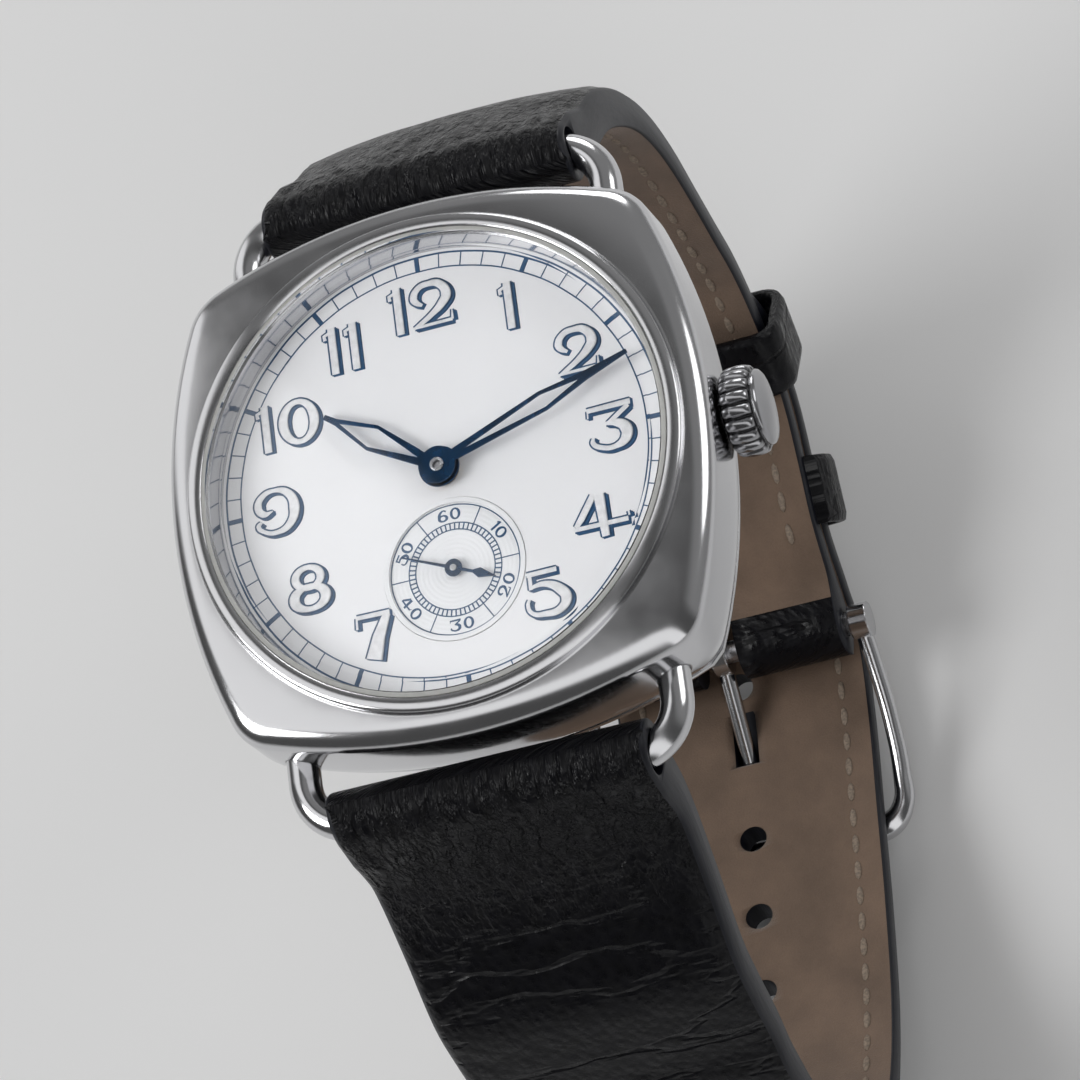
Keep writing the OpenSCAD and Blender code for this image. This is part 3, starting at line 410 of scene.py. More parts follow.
nodeFinish = {
    "steel": ["case_back", "lug_wire_12", "lug_wire_6", "rehaut", "buckle_tang"],
    "satin": ["crown_tube", "stem", "movement_ring", "case_clamps", "pallet_fork", "escape_wheel",
              "winding_pinion", "sliding_clutch", "buckle_bar"],
    "satinUp": ["ratchet_wheel", "crown_wheel", "cannon_pinion"],
    "blued": ["hour_hand", "minute_hand", "seconds_hand", "hairspring", "bridge_screws"],
    "gilt": ["minute_wheel", "hour_wheel"],
    "nickel": ["main_plate", "balance_cock", "barrel_bridge", "train_bridge"],
    "lacquer": ["dial"],
    "silver": ["sub_dial"],
    "glass": ["crystal"],
    "nylon": ["crystal_gasket"],
    "rubber": ["back_gasket"],
    "ruby": ["jewels"],
}
# Wheels whose pinion and arbor are steel: node, the joint it turns on, reach of the steel in mm
arbors = [("barrel", "barrel_spin", 1.0), ("centre_wheel", "centre_spin", 0.8),
          ("third_wheel", "third_spin", 0.62), ("fourth_wheel", "seconds_spin", 0.62),
          ("balance", "balance_swing", 0.5)]
joints = frame["record"]["behaviour"]["joints"]
jointPlace = {joint["name"]: joint["pos_m"] for joint in joints if "pos_m" in joint}


def dressNode(node, material):
    obj = bpy.data.objects[node]
    if not obj.material_slots:
        obj.data.materials.append(material)
    for slot in obj.material_slots:
        slot.material = material


for finish, nodes in nodeFinish.items():
    for node in nodes:
        dressNode(node, finishes[finish])
for node, joint, reach in arbors:
    dressNode(node, steelArbor("gilt_" + node, jointPlace[joint], reach * mm))
print("materials made and given to the carried-over nodes")


# Mesh helpers

def makeObject(name, mesh, materials):
    data = bpy.data.meshes.new(name)
    mesh.to_mesh(data)
    mesh.free()
    for material in materials:
        data.materials.append(material)
    obj = bpy.data.objects.new(name, data)
    scene.collection.objects.link(obj)
    return obj


def newGrid(across, along, mapped=False):  # a flat grid, with each vertex's column and row
    mesh = bmesh.new()
    bmesh.ops.create_grid(mesh, x_segments=across, y_segments=along, size=1)
    uvs = mesh.loops.layers.uv.new("strapMm") if mapped else None
    spots = {}
    for vert in mesh.verts:
        spots[vert] = (round((vert.co.x + 1) / 2 * across), round((vert.co.y + 1) / 2 * along))
    return mesh, spots, uvs


def closeSkin(mesh, gap, speck=None):  # joins seams, fills open ends, turns faces outwards
    for face in mesh.faces:
        face.smooth = True
    bmesh.ops.remove_doubles(mesh, verts=mesh.verts, dist=gap * mm)
    if speck:
        bmesh.ops.dissolve_degenerate(mesh, edges=mesh.edges, dist=speck * mm)
    rim = [edge for edge in mesh.edges if len(edge.link_faces) == 1]
    if rim:
        bmesh.ops.holes_fill(mesh, edges=rim, sides=0)
    bmesh.ops.recalc_face_normals(mesh, faces=mesh.faces)


def moved(x, y, z):
    return Matrix.Translation((x * mm, y * mm, z * mm))


def acrossAt(x, y, z):  # lays a cylinder along x
    return moved(x, y, z) @ Matrix.Rotation(math.pi / 2, 4, "Y")


def tilted(place, turn):  # at (y, z) of the strap's side view
    return moved(0, *place) @ Matrix.Rotation(turn, 4, "X")


def addCylinder(mesh, radius, length, matrix, segments=40):
    made = bmesh.ops.create_cone(mesh, cap_ends=True, segments=segments, radius1=radius * mm,
                                 radius2=radius * mm, depth=length * mm)
    bmesh.ops.transform(mesh, matrix=matrix, verts=made["verts"])


def addBlock(mesh, low, high, matrix):
    made = bmesh.ops.create_cube(mesh, size=1)
    size = [(h - l) * mm for l, h in zip(low, high)]
    centre = [(h + l) / 2 for l, h in zip(low, high)]
    matrix = matrix @ moved(*centre) @ Matrix.Diagonal((*size, 1))
    bmesh.ops.transform(mesh, matrix=matrix, verts=made["verts"])


def cutAway(obj, fillCutter, inside):  # inside is the material slot of the cut faces
    mesh = bmesh.new()
    fillCutter(mesh)
    for face in mesh.faces:
        face.material_index = inside
    cutter = makeObject("cutter", mesh, obj.data.materials)
    cut = obj.modifiers.new("cut", "BOOLEAN")
    cut.operation = "DIFFERENCE"
    cut.solver = "EXACT"
    cut.use_self = True
    cut.object = cutter
    bpy.context.view_layer.update()
    made = bpy.data.meshes.new_from_object(obj.evaluated_get(bpy.context.evaluated_depsgraph_get()))
    obj.modifiers.clear()
    old = obj.data
    made.name = old.name + "_cut"
    obj.data = made
    bpy.data.meshes.remove(old)
    bpy.data.objects.remove(cutter)


def newStrokes(name, roundness=2):
    curve = bpy.data.curves.new(name, "CURVE")
    curve.dimensions = "3D"
    curve.bevel_depth = mm
    curve.bevel_resolution = roundness
    curve.resolution_u = 10
    curve.use_fill_caps = True
    return curve


def addStroke(curve, points, closed=False, smooth=True):  # a point is its place and half its width
    spline = curve.splines.new("BEZIER")
    spline.bezier_points.add(len(points) - 1)
    spline.use_cyclic_u = closed
    for knot, (*place, width) in zip(spline.bezier_points, points):
        knot.co = Vector(place).to_3d() * mm
        knot.radius = width
        knot.handle_left_type = knot.handle_right_type = "AUTO" if smooth else "VECTOR"


def meshOfCurve(curve):
    drawn = bpy.data.objects.new(curve.name, curve)
    scene.collection.objects.link(drawn)
    bpy.context.view_layer.update()
    data = bpy.data.meshes.new_from_object(drawn.evaluated_get(bpy.context.evaluated_depsgraph_get()))
    mesh = bmesh.new()
    mesh.from_mesh(data)
    bpy.data.objects.remove(drawn)
    bpy.data.curves.remove(curve)
    bpy.data.meshes.remove(data)
    return mesh


# Floor and world

paper = {"color": (0.80, 0.80, 0.80), "roughness": 0.9, "bump": (0.05, 0.1), "grain": (300, 4),
         "size": 4000, "below": 0.2}
studio = {"base": 0.085, "panel": 0.95, "panelTowards": (-0.75, -0.66, 0.0), "panelRise": (-0.02, 0.035),
          "panelEnd": (0.30, 0.46), "back": 0.16, "backTowards": (0.6, 0.8, 0.0), "backRise": (0.12, 0.40)}


def makeFloor():
    mesh = bmesh.new()
    bmesh.ops.create_grid(mesh, x_segments=1, y_segments=1, size=paper["size"] * mm / 2)
    bmesh.ops.translate(mesh, verts=mesh.verts, vec=(0, 0, cadBox[0][2] - paper["below"] * mm))
    material, tree = startMaterial("floorPaper", paper)
    roughen(tree, noiseOn(tree, objectCoords(tree), *paper["grain"]), paper)
    obj = makeObject("floor", mesh, [material])


def makeWorld():
    world = bpy.data.worlds.new("studio")
    world.use_nodes = True
    tree = world.node_tree
    sky = addNode(tree, "ShaderNodeTexCoord").outputs["Generated"]

    def towards(direction, edges):  # 0 to 1 as the sky nears a direction
        dot = addNode(tree, "ShaderNodeVectorMath", {0: sky, 1: direction}, operation="DOT_PRODUCT")
        return spread(tree, dot.outputs["Value"], 0.0, 1.0, *edges, interpolation_type="SMOOTHSTEP")

    over = combine(tree, "SUBTRACT", 1.0, towards(studio["panelTowards"], studio["panelEnd"]))
    panel = combine(tree, "MULTIPLY", towards(studio["panelTowards"], studio["panelRise"]), over)
    rear = towards(studio["backTowards"], studio["backRise"])
    level = addUp(tree, (panel, studio["panel"]), (rear, studio["back"]), base=studio["base"])
    back = tree.nodes["Background"]
    feed(tree, back.inputs["Strength"], level)
    feed(tree, back.inputs["Color"], (1, 1, 1))
    scene.world = world


makeFloor()
makeWorld()
print("floor and world made")


# Dial prints: strokes with a width at each point, made as curves and pressed flat

dialPrint = {
    "level": 6.0, "lift": 0.010, "flat": 0.012, "numeralRadius": 10.55, "numeralHeight": 3.0,
    "outerRing": 13.65, "innerRing": 12.75, "ringLine": 0.06, "innerLine": 0.045, "tick": 0.038,
    "hourBar": 0.15, "outline": 0.04, "faceGrow": -0.06, "shadowShift": (0.17, -0.14), "thinnest": 0.02,
    "gap": 0.14, "gapOfEleven": 0.25, "flagOfOne": 0.07,
}
subPrint = {
    "level": 5.892, "outerRing": 4.0, "railOut": 2.88, "railIn": 2.47, "line": 0.036, "railLine": 0.038,
    "railTick": 0.045, "numberRadius": 3.43, "numberHeight": 0.74, "numberWeight": 0.92,
}
# Each figure: its width, then its strokes. A ring has its centre, radii and half widths (side, top);
# a line or curve has its points (x, y, half width). All are in heights of the figure.
glyphs = {
    "0": (0.92, [("ring", (0.46, 0.5), (0.33, 0.425), (0.122, 0.075))]),
    "1": (0.20, [("line", [(.1, 0, .1), (.1, 1, .1)]),
                 ("line", [(.12, .93, .055), (-.06, .86, .06), (-.05, .76, .06)])]),
    "2": (0.93, [("curve", [(.27, .50, .05), (.14, .60, .085), (.105, .69, .1), (.22, .88, .085),
                            (.44, .93, .08), (.66, .88, .1), (.79, .63, .125), (.68, .45, .11),
                            (.45, .27, .08), (.2, .12, .07), (.05, .05, .05)]),
                 ("line", [(.06, .06, .05), (.86, .06, .055)]),
                 ("line", [(.86, .06, .05), (.87, .27, .03)])]),
    "3": (1.0, [("line", [(.05, .92, .07), (.95, .92, .08)]), ("line", [(.07, .92, .035), (.06, .76, .035)]),
                ("line", [(.9, .86, .07), (.45, .56, .07)]),
                ("curve", [(.42, .58, .06), (.62, .55, .1), (.80, .40, .14), (.78, .2, .13),
                           (.55, .07, .075), (.28, .1, .07), (.1, .24, .07), (.12, .34, .05)])]),
    "4": (1.15, [("line", [(.62, .93, .13), (.66, .05, .1)]),
                 ("line", [(.5, .93, .09), (.2, .5, .09), (.08, .36, .07)]),
                 ("line", [(.05, .32, .065), (1.15, .30, .07)]),
                 ("line", [(1.18, .36, .04), (1.17, .45, .04)])]),
    "5": (0.86, [("line", [(.1, .93, .07), (.72, .93, .07)]), ("line", [(.16, .93, .06), (.16, .62, .06)]),
                 ("curve", [(.12, .66, .05), (.45, .68, .08), (.75, .5, .12), (.85, .3, .13), (.7, .1, .1),
                            (.4, .07, .08), (.12, .15, .06), (.06, .33, .06), (.1, .43, .05)])]),
    "6": (0.95, [("ring", (0.5, 0.3), (0.32, 0.235), (0.13, 0.07)),
                 ("curve", [(.19, .32, .13), (.21, .58, .13), (.36, .83, .1), (.6, .94, .06),
                            (.8, .84, .07)])]),
    "7": (0.78, [("line", [(.03, .92, .065), (.72, .90, .07)]),
                 ("line", [(.03, .92, .04), (.02, .68, .045)]),
                 ("line", [(.66, .88, .1), (.45, .45, .15), (.3, 0, .19)])]),
    "8": (0.95, [("ring", (0.5, 0.72), (0.265, 0.215), (0.105, 0.075)),
                 ("ring", (0.5, 0.3), (0.33, 0.235), (0.13, 0.075))]),
    "9": (0.95, [("curve", [(.40, .52, .03), (.2, .5, .09), (.1, .68, .1), (.22, .88, .08), (.47, .945, .06),
                            (.75, .83, .1), (.86, .5, .13), (.72, .17, .1), (.45, .06, .07), (.18, .13, .06),
                            (.07, .27, .07), (.14, .34, .05)])]),
}


def turned(centre, x, y, turn):
    c, s = math.cos(turn), math.sin(turn)
    return centre[0] + c * x - s * y, centre[1] + s * x + c * y


def addGlyph(curve, digit, place, height, grow, turn, thin):
    def put(x, y, width):
        width = max(width * height * thin + grow, dialPrint["thinnest"])
        return *turned(place, x * height, y * height, turn), width

    for kind, *shape in glyphs[digit][1]:
        if kind == "ring":
            (cx, cy), (rx, ry), (side, top) = shape
            points = []
            for k in range(16):
                c, s = math.cos(math.pi * k / 8), math.sin(math.pi * k / 8)
                points.append(put(cx + rx * c, cy + ry * s, top + (side - top) * c ** 2))
        else:
            points = [put(*point) for point in shape[0]]
        addStroke(curve, points, closed=kind == "ring", smooth=kind != "line")


def addNumber(curve, text, centre, height, grow=0.0, turn=0.0, thin=1.0):
    gap = dialPrint["gapOfEleven"] if text == "11" else dialPrint["gap"]
    lead = dialPrint["flagOfOne"] if text[0] == "1" else 0
    width = sum(glyphs[digit][0] for digit in text) + gap * (len(text) - 1)
    pen = (lead - width) / 2
    for digit in text:
        addGlyph(curve, digit, turned(centre, pen * height, -0.5 * height, turn), height, grow, turn, thin)
        pen += glyphs[digit][0] + gap


def pressFlat(curve, level, material):
    name = curve.name
    mesh = meshOfCurve(curve)
    press = moved(0, 0, level) @ Matrix.Diagonal((1, 1, dialPrint["flat"], 1))
    bmesh.ops.transform(mesh, matrix=press, verts=mesh.verts)
    obj = makeObject(name, mesh, [material])
    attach(obj, "case")


def addCircle(curve, radius, width, centre=(0, 0), count=24):
    points = [(*turned(centre, radius, 0, 2 * math.pi * k / count), width) for k in range(count)]
    addStroke(curve, points, closed=True)


def addTick(curve, minute, inner, outer, width, centre=(0, 0)):
    ends = [(*turned(centre, 0, radius, -math.radians(minute * 6)), width) for radius in (inner, outer)]
    addStroke(curve, ends, smooth=False)


def printDial():
    p = dialPrint
    track = newStrokes("dial_track")
    addCircle(track, p["outerRing"], p["ringLine"])
    addCircle(track, p["innerRing"], p["innerLine"])
    for minute in range(60):
        width = p["hourBar"] if minute % 5 == 0 else p["tick"]
        addTick(track, minute, p["innerRing"], p["outerRing"], width)
    pressFlat(track, p["level"] + p["lift"], finishes["ink"])

    shadow = newStrokes("numeral_shadows")
    outline = newStrokes("numeral_outlines")
    face = newStrokes("numeral_faces")
    for hour in (12, 1, 2, 3, 4, 5, 7, 8, 9, 10, 11):
        centre = turned((0, 0), 0, p["numeralRadius"], -math.radians(hour * 30))
        for share in (0.5, 1.0):  # the shadow is drawn twice, so it fills
            aside = (centre[0] + share * p["shadowShift"][0], centre[1] + share * p["shadowShift"][1])
            addNumber(shadow, str(hour), aside, p["numeralHeight"], p["outline"])
        addNumber(outline, str(hour), centre, p["numeralHeight"], p["outline"])
        addNumber(face, str(hour), centre, p["numeralHeight"], p["faceGrow"])
    pressFlat(shadow, p["level"] + p["lift"], finishes["ink"])
    pressFlat(outline, p["level"] + 2 * p["lift"], finishes["ink"])
    pressFlat(face, p["level"] + 3 * p["lift"], finishes["inkWhite"])


def printSubDial():
    p = subPrint
    lines = newStrokes("seconds_track")
    for ring, line in (("outerRing", "line"), ("railOut", "railLine"), ("railIn", "railLine")):
        addCircle(lines, p[ring], p[line], subCentre)
    for second in range(60):
        addTick(lines, second, p["railIn"], p["railOut"], p["railTick"], subCentre)
    for second in (5, 15, 25, 35, 45, 55):
        addTick(lines, second, p["railOut"], p["outerRing"], p["line"], subCentre)
    for second in (10, 20, 30, 40, 50, 60):
        around = math.radians(second * 6)
        turn = -around if second in (10, 50, 60) else math.pi - around
        centre = turned(subCentre, 0, p["numberRadius"], -around)
        addNumber(lines, str(second), centre, p["numberHeight"], turn=turn, thin=p["numberWeight"])
    pressFlat(lines, p["level"], finishes["ink"])


printDial()
printSubDial()
print("dial printed")


# Straps: a flat grid wound into a padded band that follows the strap's side view.
# Each point is (y, z, half thickness).

shortStrap = {
    "points": [(19.47, 3.9, 2.05), (22, 1, 2), (25.5, -3.4, 1.8), (27.6, -7.8, 1.6), (28.8, -12, 1.4),
               (29.2, -16, 1.3), (28.9, -20, 1.2), (28.1, -24, 1.1), (27.2, -28, 1.1), (26.3, -32, 1.1),
               (24.8, -35.5, 1.1), (22.6, -39, 1.1), (19.5, -41.9, 1.1), (15.5, -43.5, 1.1),
               (12, -44.6, 1.1), (8.5, -46.8, 1.1), (5.5, -48.1, 1.1)],
    "outward": -1, "tipRadius": 0, "pinRadius": 0.85,
    "slotHalf": 1.6, "slotRun": (-2.5, 7.9), "slotRise": (-4.2, 4.2),
}
longStrap = {
    "points": [(-19.47, 3.9, 2.05), (-21.3, -0.6, 1.95), (-24.6, -4.6, 1.75), (-28.2, -8.3, 1.6),
               (-29.9, -11.4, 1.5), (-31.3, -14.6, 1.4), (-33, -17.8, 1.3), (-35.2, -25, 1.15),
               (-35.3, -32, 1), (-32.6, -38.5, 1), (-28.6, -43, 1), (-22.1, -46.6, 1), (-14.3, -49, 1),
               (-7.5, -50.5, 1), (0, -52.1, 1), (5.6, -52.3, 1), (9, -49.8, 1), (12.3, -47.1, 1),
               (16.3, -45.75, 1), (20.8, -44, 1), (24.5, -40.55, 1), (26.97, -36.6, 1), (28.6, -32.75, 1)],
    "outward": 1, "tipRadius": 9.0,
    "holeRadius": 0.95, "holeDepth": 4, "usedHole": 82.0, "pitch": 6.0, "holes": (-4, -3, -2, -1, 1, 2),
}
band = {"lugHalf": 9.9, "buckleHalf": 9.0, "taperTo": 42.0, "outerRound": 0.7, "innerRound": 0.22,
        "wireRadius": 1.3, "capRadius": 2.1, "capSteps": 10, "tipSteps": 18, "tipFlat": 0.2,
        "faceCount": 56, "edgeCount": 6, "liningCount": 12, "step": 0.42, "thinDrop": 0.16,
        "deepest": 0.55, "swell": 4.5, "cutLength": 24, "liningFrom": 6.0, "liningEnd": 2.2,
        "mapStart": 10, "wobble": 0.06, "foldDepth": 0.16, "foldReach": 8.0, "foldLine": 0.22,
        "waveDepth": 0.05, "waveLine": 0.10, "flatEnd": 5, "flatHalf": 1.0, "padShare": 0.95,
        "pinchShare": 0.34, "pinchEdges": (2.2, 5.2), "swayCells": (0.3, 0.25), "foldCells": (0.72, 0.15),
        "waveCells": (0.06, 0.26), "wobbleCells": (0.35, 0.35), "holeFacets": 28}
pin = (5.5, -48.1)  # the buckle bar
crossbar = (-7.5, -52.8)  # the bow's far end
bowLength = math.hypot(crossbar[0] - pin[0], crossbar[1] - pin[1])
# The tang's slot in the long strap; rise is the tang's height over the buckle's line at its far end
tangSlot = {"half": 0.85, "start": 4.85, "stop": 11.15, "low": -0.85, "high": 1.45, "rise": 1.61}


def within(value, low=0.0, high=1.0):
    return min(max(value, low), high)


def smoothPath(points, parts=12):  # a spline through all points
    dense = []
    for i in range(len(points) - 1):
        a, b = points[max(i - 1, 0)], points[i]
        c, d = points[i + 1], points[min(i + 2, len(points) - 1)]
        for k in range(parts):
            t = k / parts
            dense.append([0.5 * (2 * b[n] + (c[n] - a[n]) * t
                                 + (2 * a[n] - 5 * b[n] + 4 * c[n] - d[n]) * t * t
                                 + (3 * b[n] - a[n] - 3 * c[n] + d[n]) * t ** 3) for n in range(3)])
    dense.append(list(points[-1]))
    return dense


class StrapPath:
    def __init__(self, settings):
        self.dense = smoothPath(settings["points"])
        self.outward = settings["outward"]
        self.marks = [0.0]
        for a, b in zip(self.dense, self.dense[1:]):
            self.marks.append(self.marks[-1] + math.hypot(b[0] - a[0], b[1] - a[1]))
        self.length = self.marks[-1]

    def at(self, s):  # place, direction, outward side and half thickness
        inside = within(s, 0.0, self.length)
        i = 0
        while i < len(self.marks) - 2 and self.marks[i + 1] < inside:
            i += 1
        t = (inside - self.marks[i]) / (self.marks[i + 1] - self.marks[i])
        a, b = self.dense[i], self.dense[i + 1]
        before, after = self.dense[max(i - 1, 0)], self.dense[min(i + 2, len(self.dense) - 1)]
        d0 = Vector((b[0] - before[0], b[1] - before[1])).normalized()
        d1 = Vector((after[0] - a[0], after[1] - a[1])).normalized()
        along = d0.lerp(d1, t).normalized()
        place = Vector((a[0] + (b[0] - a[0]) * t, a[1] + (b[1] - a[1]) * t)) + along * (s - inside)
        out = Vector((along[1], -along[0])) * self.outward
        return place, along, out, a[2] + (b[2] - a[2]) * t


def halfWidthAt(z):
    return band["lugHalf"] + (band["buckleHalf"] - band["lugHalf"]) * within(-z / band["taperTo"])


def noiseAt(x, y, cells, layer, shift=(0, 0)):
    return noise.noise(Vector((x * cells[0] + shift[0], y * cells[1] + shift[1], layer)))


def creaseDepth(x, s):  # folds by the lug wire, then waves across the strap
    sway = noiseAt(x, s, band["swayCells"], 7)
    nearFold = max(0.0, 1.0 - max(s, 0.0) / band["foldReach"])
    across = abs(noiseAt(x, s, band["foldCells"], 1, (sway, 0)))
    along = abs(noiseAt(x, s, band["waveCells"], 5, (0, sway / 2)))
    folds = band["foldDepth"] * nearFold ** 0.7 * max(0.0, 1.0 - across / band["foldLine"]) ** 1.4
    waves = band["waveDepth"] * (1.0 - nearFold) * max(0.0, 1.0 - along / band["waveLine"]) ** 1.2
    return folds + waves


def padDrop(halfThick, s, fromEnd):  # padded middle, thin edges, pinched at the lug wire
    if fromEnd <= band["flatEnd"]:
        return band["thinDrop"]
    drop = max(band["thinDrop"], (halfThick - band["flatHalf"]) * band["padShare"])
    start, stop = band["pinchEdges"]
    pinch = band["pinchShare"] + (1 - band["pinchShare"]) * within((abs(s) - start) / (stop - start))
    return min(drop * pinch, halfThick * band["deepest"])


def ringPoints(halfWidth, halfThick, drop):  # across, outward, and 0 face, 1 edge or 2 lining
    drop = min(drop, halfThick * band["deepest"])
    low = halfThick - drop
    outer = min(band["outerRound"], halfThick * 0.95, halfWidth, (2 * halfThick - drop) * band["deepest"])
    inner = min(band["innerRound"], halfThick * 0.95, halfWidth)
    top, foot = (outer, low - outer), (inner, inner - halfThick)
    middle = ((top[0] + foot[0]) / 2, (top[1] + foot[1]) / 2)
    count = band["edgeCount"]

    def edge(side, faceEnd):
        for k in range(count):
            a = side * (math.pi / 2 - math.pi * k / count)
            r, height = top if a > 0.01 else foot if a < -0.01 else middle
            zone = 0 if k == faceEnd else 1
            yield side * (halfWidth - r + r * math.cos(a)), height + r * math.sin(a), zone

    ring = []
    for k in range(band["faceCount"]):
        x = (halfWidth - outer) * (-1 + 2 * k / band["faceCount"])
        ring.append((x, low + drop * (1 - (abs(x) / max(halfWidth, 1e-6)) ** 2.5), 0))
    ring += edge(1, 0)
    for k in range(band["liningCount"]):
        ring.append(((halfWidth - inner) * (1 - 2 * k / band["liningCount"]), -halfThick, 2))
    ring += edge(-1, count - 1)
    return ring


def stationsFor(path, tip):  # place along, half thickness, half width if given
    cap = band["capRadius"]
    stop = path.length - tip

    def bulge(t):  # half thickness of a round end
        return math.sqrt(max(cap * cap - t * t, 0.0))

    ends = [cap * math.sin(math.pi / 2 * k / band["capSteps"]) for k in range(band["capSteps"] + 1)]
    stations = [(-t, bulge(t), None) for t in reversed(ends[1:])]
    count = int(stop / band["step"])
    for k in range(count + 1):
        s = stop * k / count
        thick = max(path.at(s)[3], bulge(s))
        if not tip:  # swells round the buckle bar
            t = within(1 - (path.length - s) / band["swell"])
            thick += (cap - thick) * t * t * (3 - 2 * t)
        stations.append((s, thick, None))
    if not tip:
        return stations + [(path.length + t, bulge(t), None) for t in ends[1:]]
    thick = path.at(stop)[3]
    for k in range(1, band["tipSteps"] + 1):
        a = math.pi / 2 * k / band["tipSteps"]
        last = band["tipFlat"] if k == band["tipSteps"] else 1
        stations.append((stop + tip * math.sin(a), thick * last, tip * math.cos(a)))  # a round tip
    return stations


def windStrap(name, settings):
    path = StrapPath(settings)
    rings = []
    for s, thick, width in stationsFor(path, settings["tipRadius"]):
        place, along, out, _ = path.at(s)
        halfWidth = halfWidthAt(place[1]) if width is None else width
        ring = ringPoints(halfWidth, thick, padDrop(thick, s, path.length - s))
        reach = [0.0]
        for a, b in zip(ring, ring[1:] + ring[:1]):
            reach.append(reach[-1] + math.hypot(b[0] - a[0], b[1] - a[1]))
        rings.append((s, thick, place, out, ring, reach))
    ringCount = len(rings[0][4])
    mesh, spots, uvs = newGrid(ringCount, len(rings) - 1, True)
    liningStop = path.length + (1 if settings["tipRadius"] else -1) * band["liningEnd"]
    for face in mesh.faces:
        column, row = (min(spots[vert][n] for vert in face.verts) for n in (0, 1))
        s, zone = rings[row][0], rings[row][4][column][2]
        bare = zone == 2 and not band["liningFrom"] <= s <= liningStop
        face.material_index = 0 if bare else zone
        for corner in face.loops:
            i, j = spots[corner.vert]
            reach = rings[j][5]
            corner[uvs].uv = (reach[i] - reach[band["faceCount"] // 2], rings[j][0] + band["mapStart"])
    for vert, (i, j) in spots.items():
        s, thick, place, out, ring, _ = rings[j]
        x, n, zone = ring[i % ringCount]
        soft = noiseAt(x, s, band["wobbleCells"], 3 * settings["outward"]) * band["wobble"]
        if zone == 0:
            n -= (abs(soft) + creaseDepth(x, s)) * min(1.0, thick / 1.2)
        spot = place + out * n
        vert.co = (x * mm, spot[0] * mm, spot[1] * mm)
    closeSkin(mesh, 0.004, 0.001)
    return makeObject(name, mesh, [finishes["leather"], finishes["edge"], finishes["lining"]]), path


def buckleFrame(extra=0.0):  # y runs from the buckle bar to the crossbar
    return tilted(pin, math.atan2(crossbar[1] - pin[1], crossbar[0] - pin[0]) + extra)


strapShort, shortPath = windStrap("leather_short", shortStrap)
strapLong, longPath = windStrap("leather_long", longStrap)


def cutShort(mesh):  # the lug wire, the buckle bar and the buckle's slot
    half, run, rise = shortStrap["slotHalf"], shortStrap["slotRun"], shortStrap["slotRise"]
    addCylinder(mesh, band["wireRadius"], band["cutLength"], acrossAt(0, *shortStrap["points"][0][:2]))
    addCylinder(mesh, shortStrap["pinRadius"], band["cutLength"], acrossAt(0, *pin))
    addBlock(mesh, (-half, run[0], rise[0]), (half, run[1], rise[1]), moved(0, 0, pin[1]))


def cutLong(mesh):  # the lug wire, the adjusting holes and the tang's slot
    facets = band["holeFacets"]
    addCylinder(mesh, band["wireRadius"], band["cutLength"], acrossAt(0, *longStrap["points"][0][:2]))
    for number in longStrap["holes"]:
        place, _, out, _ = longPath.at(longStrap["usedHole"] + number * longStrap["pitch"])
        turn = math.atan2(out[1], out[0]) - math.pi / 2
        addCylinder(mesh, longStrap["holeRadius"], longStrap["holeDepth"], tilted(place, turn), facets)
    slot = buckleFrame(math.atan(tangSlot["rise"] / bowLength))
    half, low, high = tangSlot["half"], tangSlot["low"], tangSlot["high"]
    addBlock(mesh, (-half, tangSlot["start"], low), (half, tangSlot["stop"], high), slot)
    for end in (tangSlot["start"], tangSlot["stop"]):
        addCylinder(mesh, half, high - low, slot @ moved(0, end, (low + high) / 2), facets)


cutAway(strapShort, cutShort, 1)
cutAway(strapLong, cutLong, 1)
for strap, node in ((strapShort, "strap_short"), (strapLong, "strap_long")):
    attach(strap, "case")
    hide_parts(node)
print("straps wound")


# Stitches sit in the lining, a little in from each edge

stitches = {"inset": 1.9, "pitch": 2.0, "length": 1.5, "width": 0.5, "height": 0.24, "sunk": 0.11,
            "start": 7.5, "shortEnd": 7}


def sewAlong(name, path, spots):
    mesh = bmesh.new()
    sizes = Matrix.Diagonal((stitches["width"], stitches["length"], stitches["height"], 1))
    for x, s, turn in spots:
        place, along, out, thick = path.at(s)
        made = bmesh.ops.create_uvsphere(mesh, u_segments=8, v_segments=6, radius=0.5 * mm)
        base = Matrix(((1, 0, 0), (0, *along), (0, *-out))).transposed().to_4x4()
        spot = place - out * (thick + stitches["height"] / 2 - stitches["sunk"])
        matrix = moved(x, *spot) @ base @ Matrix.Rotation(turn, 4, "Z") @ sizes
        bmesh.ops.transform(mesh, verts=made["verts"], matrix=matrix)
    closeSkin(mesh, 0.002)
    obj = makeObject(name, mesh, [finishes["thread"]])
    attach(obj, "case")


def sideSpots(path, stop):
    spots = []
    start = stitches["start"]
    count = int((stop - start) / stitches["pitch"])
    for k in range(count + 1):
        s = start + (stop - start) * k / count
        half = halfWidthAt(path.at(s)[0][1]) - stitches["inset"]
        spots += [(-half, s, 0), (half, s, 0)]
    return spots


def tipSpots(path, radius):
    spots = []
    inner = radius - stitches["inset"]
    count = int(math.pi * inner / stitches["pitch"])
    for k in range(1, count):
        a = math.pi * k / count
        spots.append((-inner * math.cos(a), path.length - radius + inner * math.sin(a), math.pi / 2 - a))
    return spots


sewAlong("stitches_short", shortPath, sideSpots(shortPath, shortPath.length - stitches["shortEnd"]))
sewAlong("stitches_long", longPath, sideSpots(longPath, longPath.length - longStrap["tipRadius"])
         + tipSpots(longPath, longStrap["tipRadius"]))
print("stitches sewn")


# Keepers: the free one is a loop round both layers, the fixed one a strip sewn to the short strap's edges

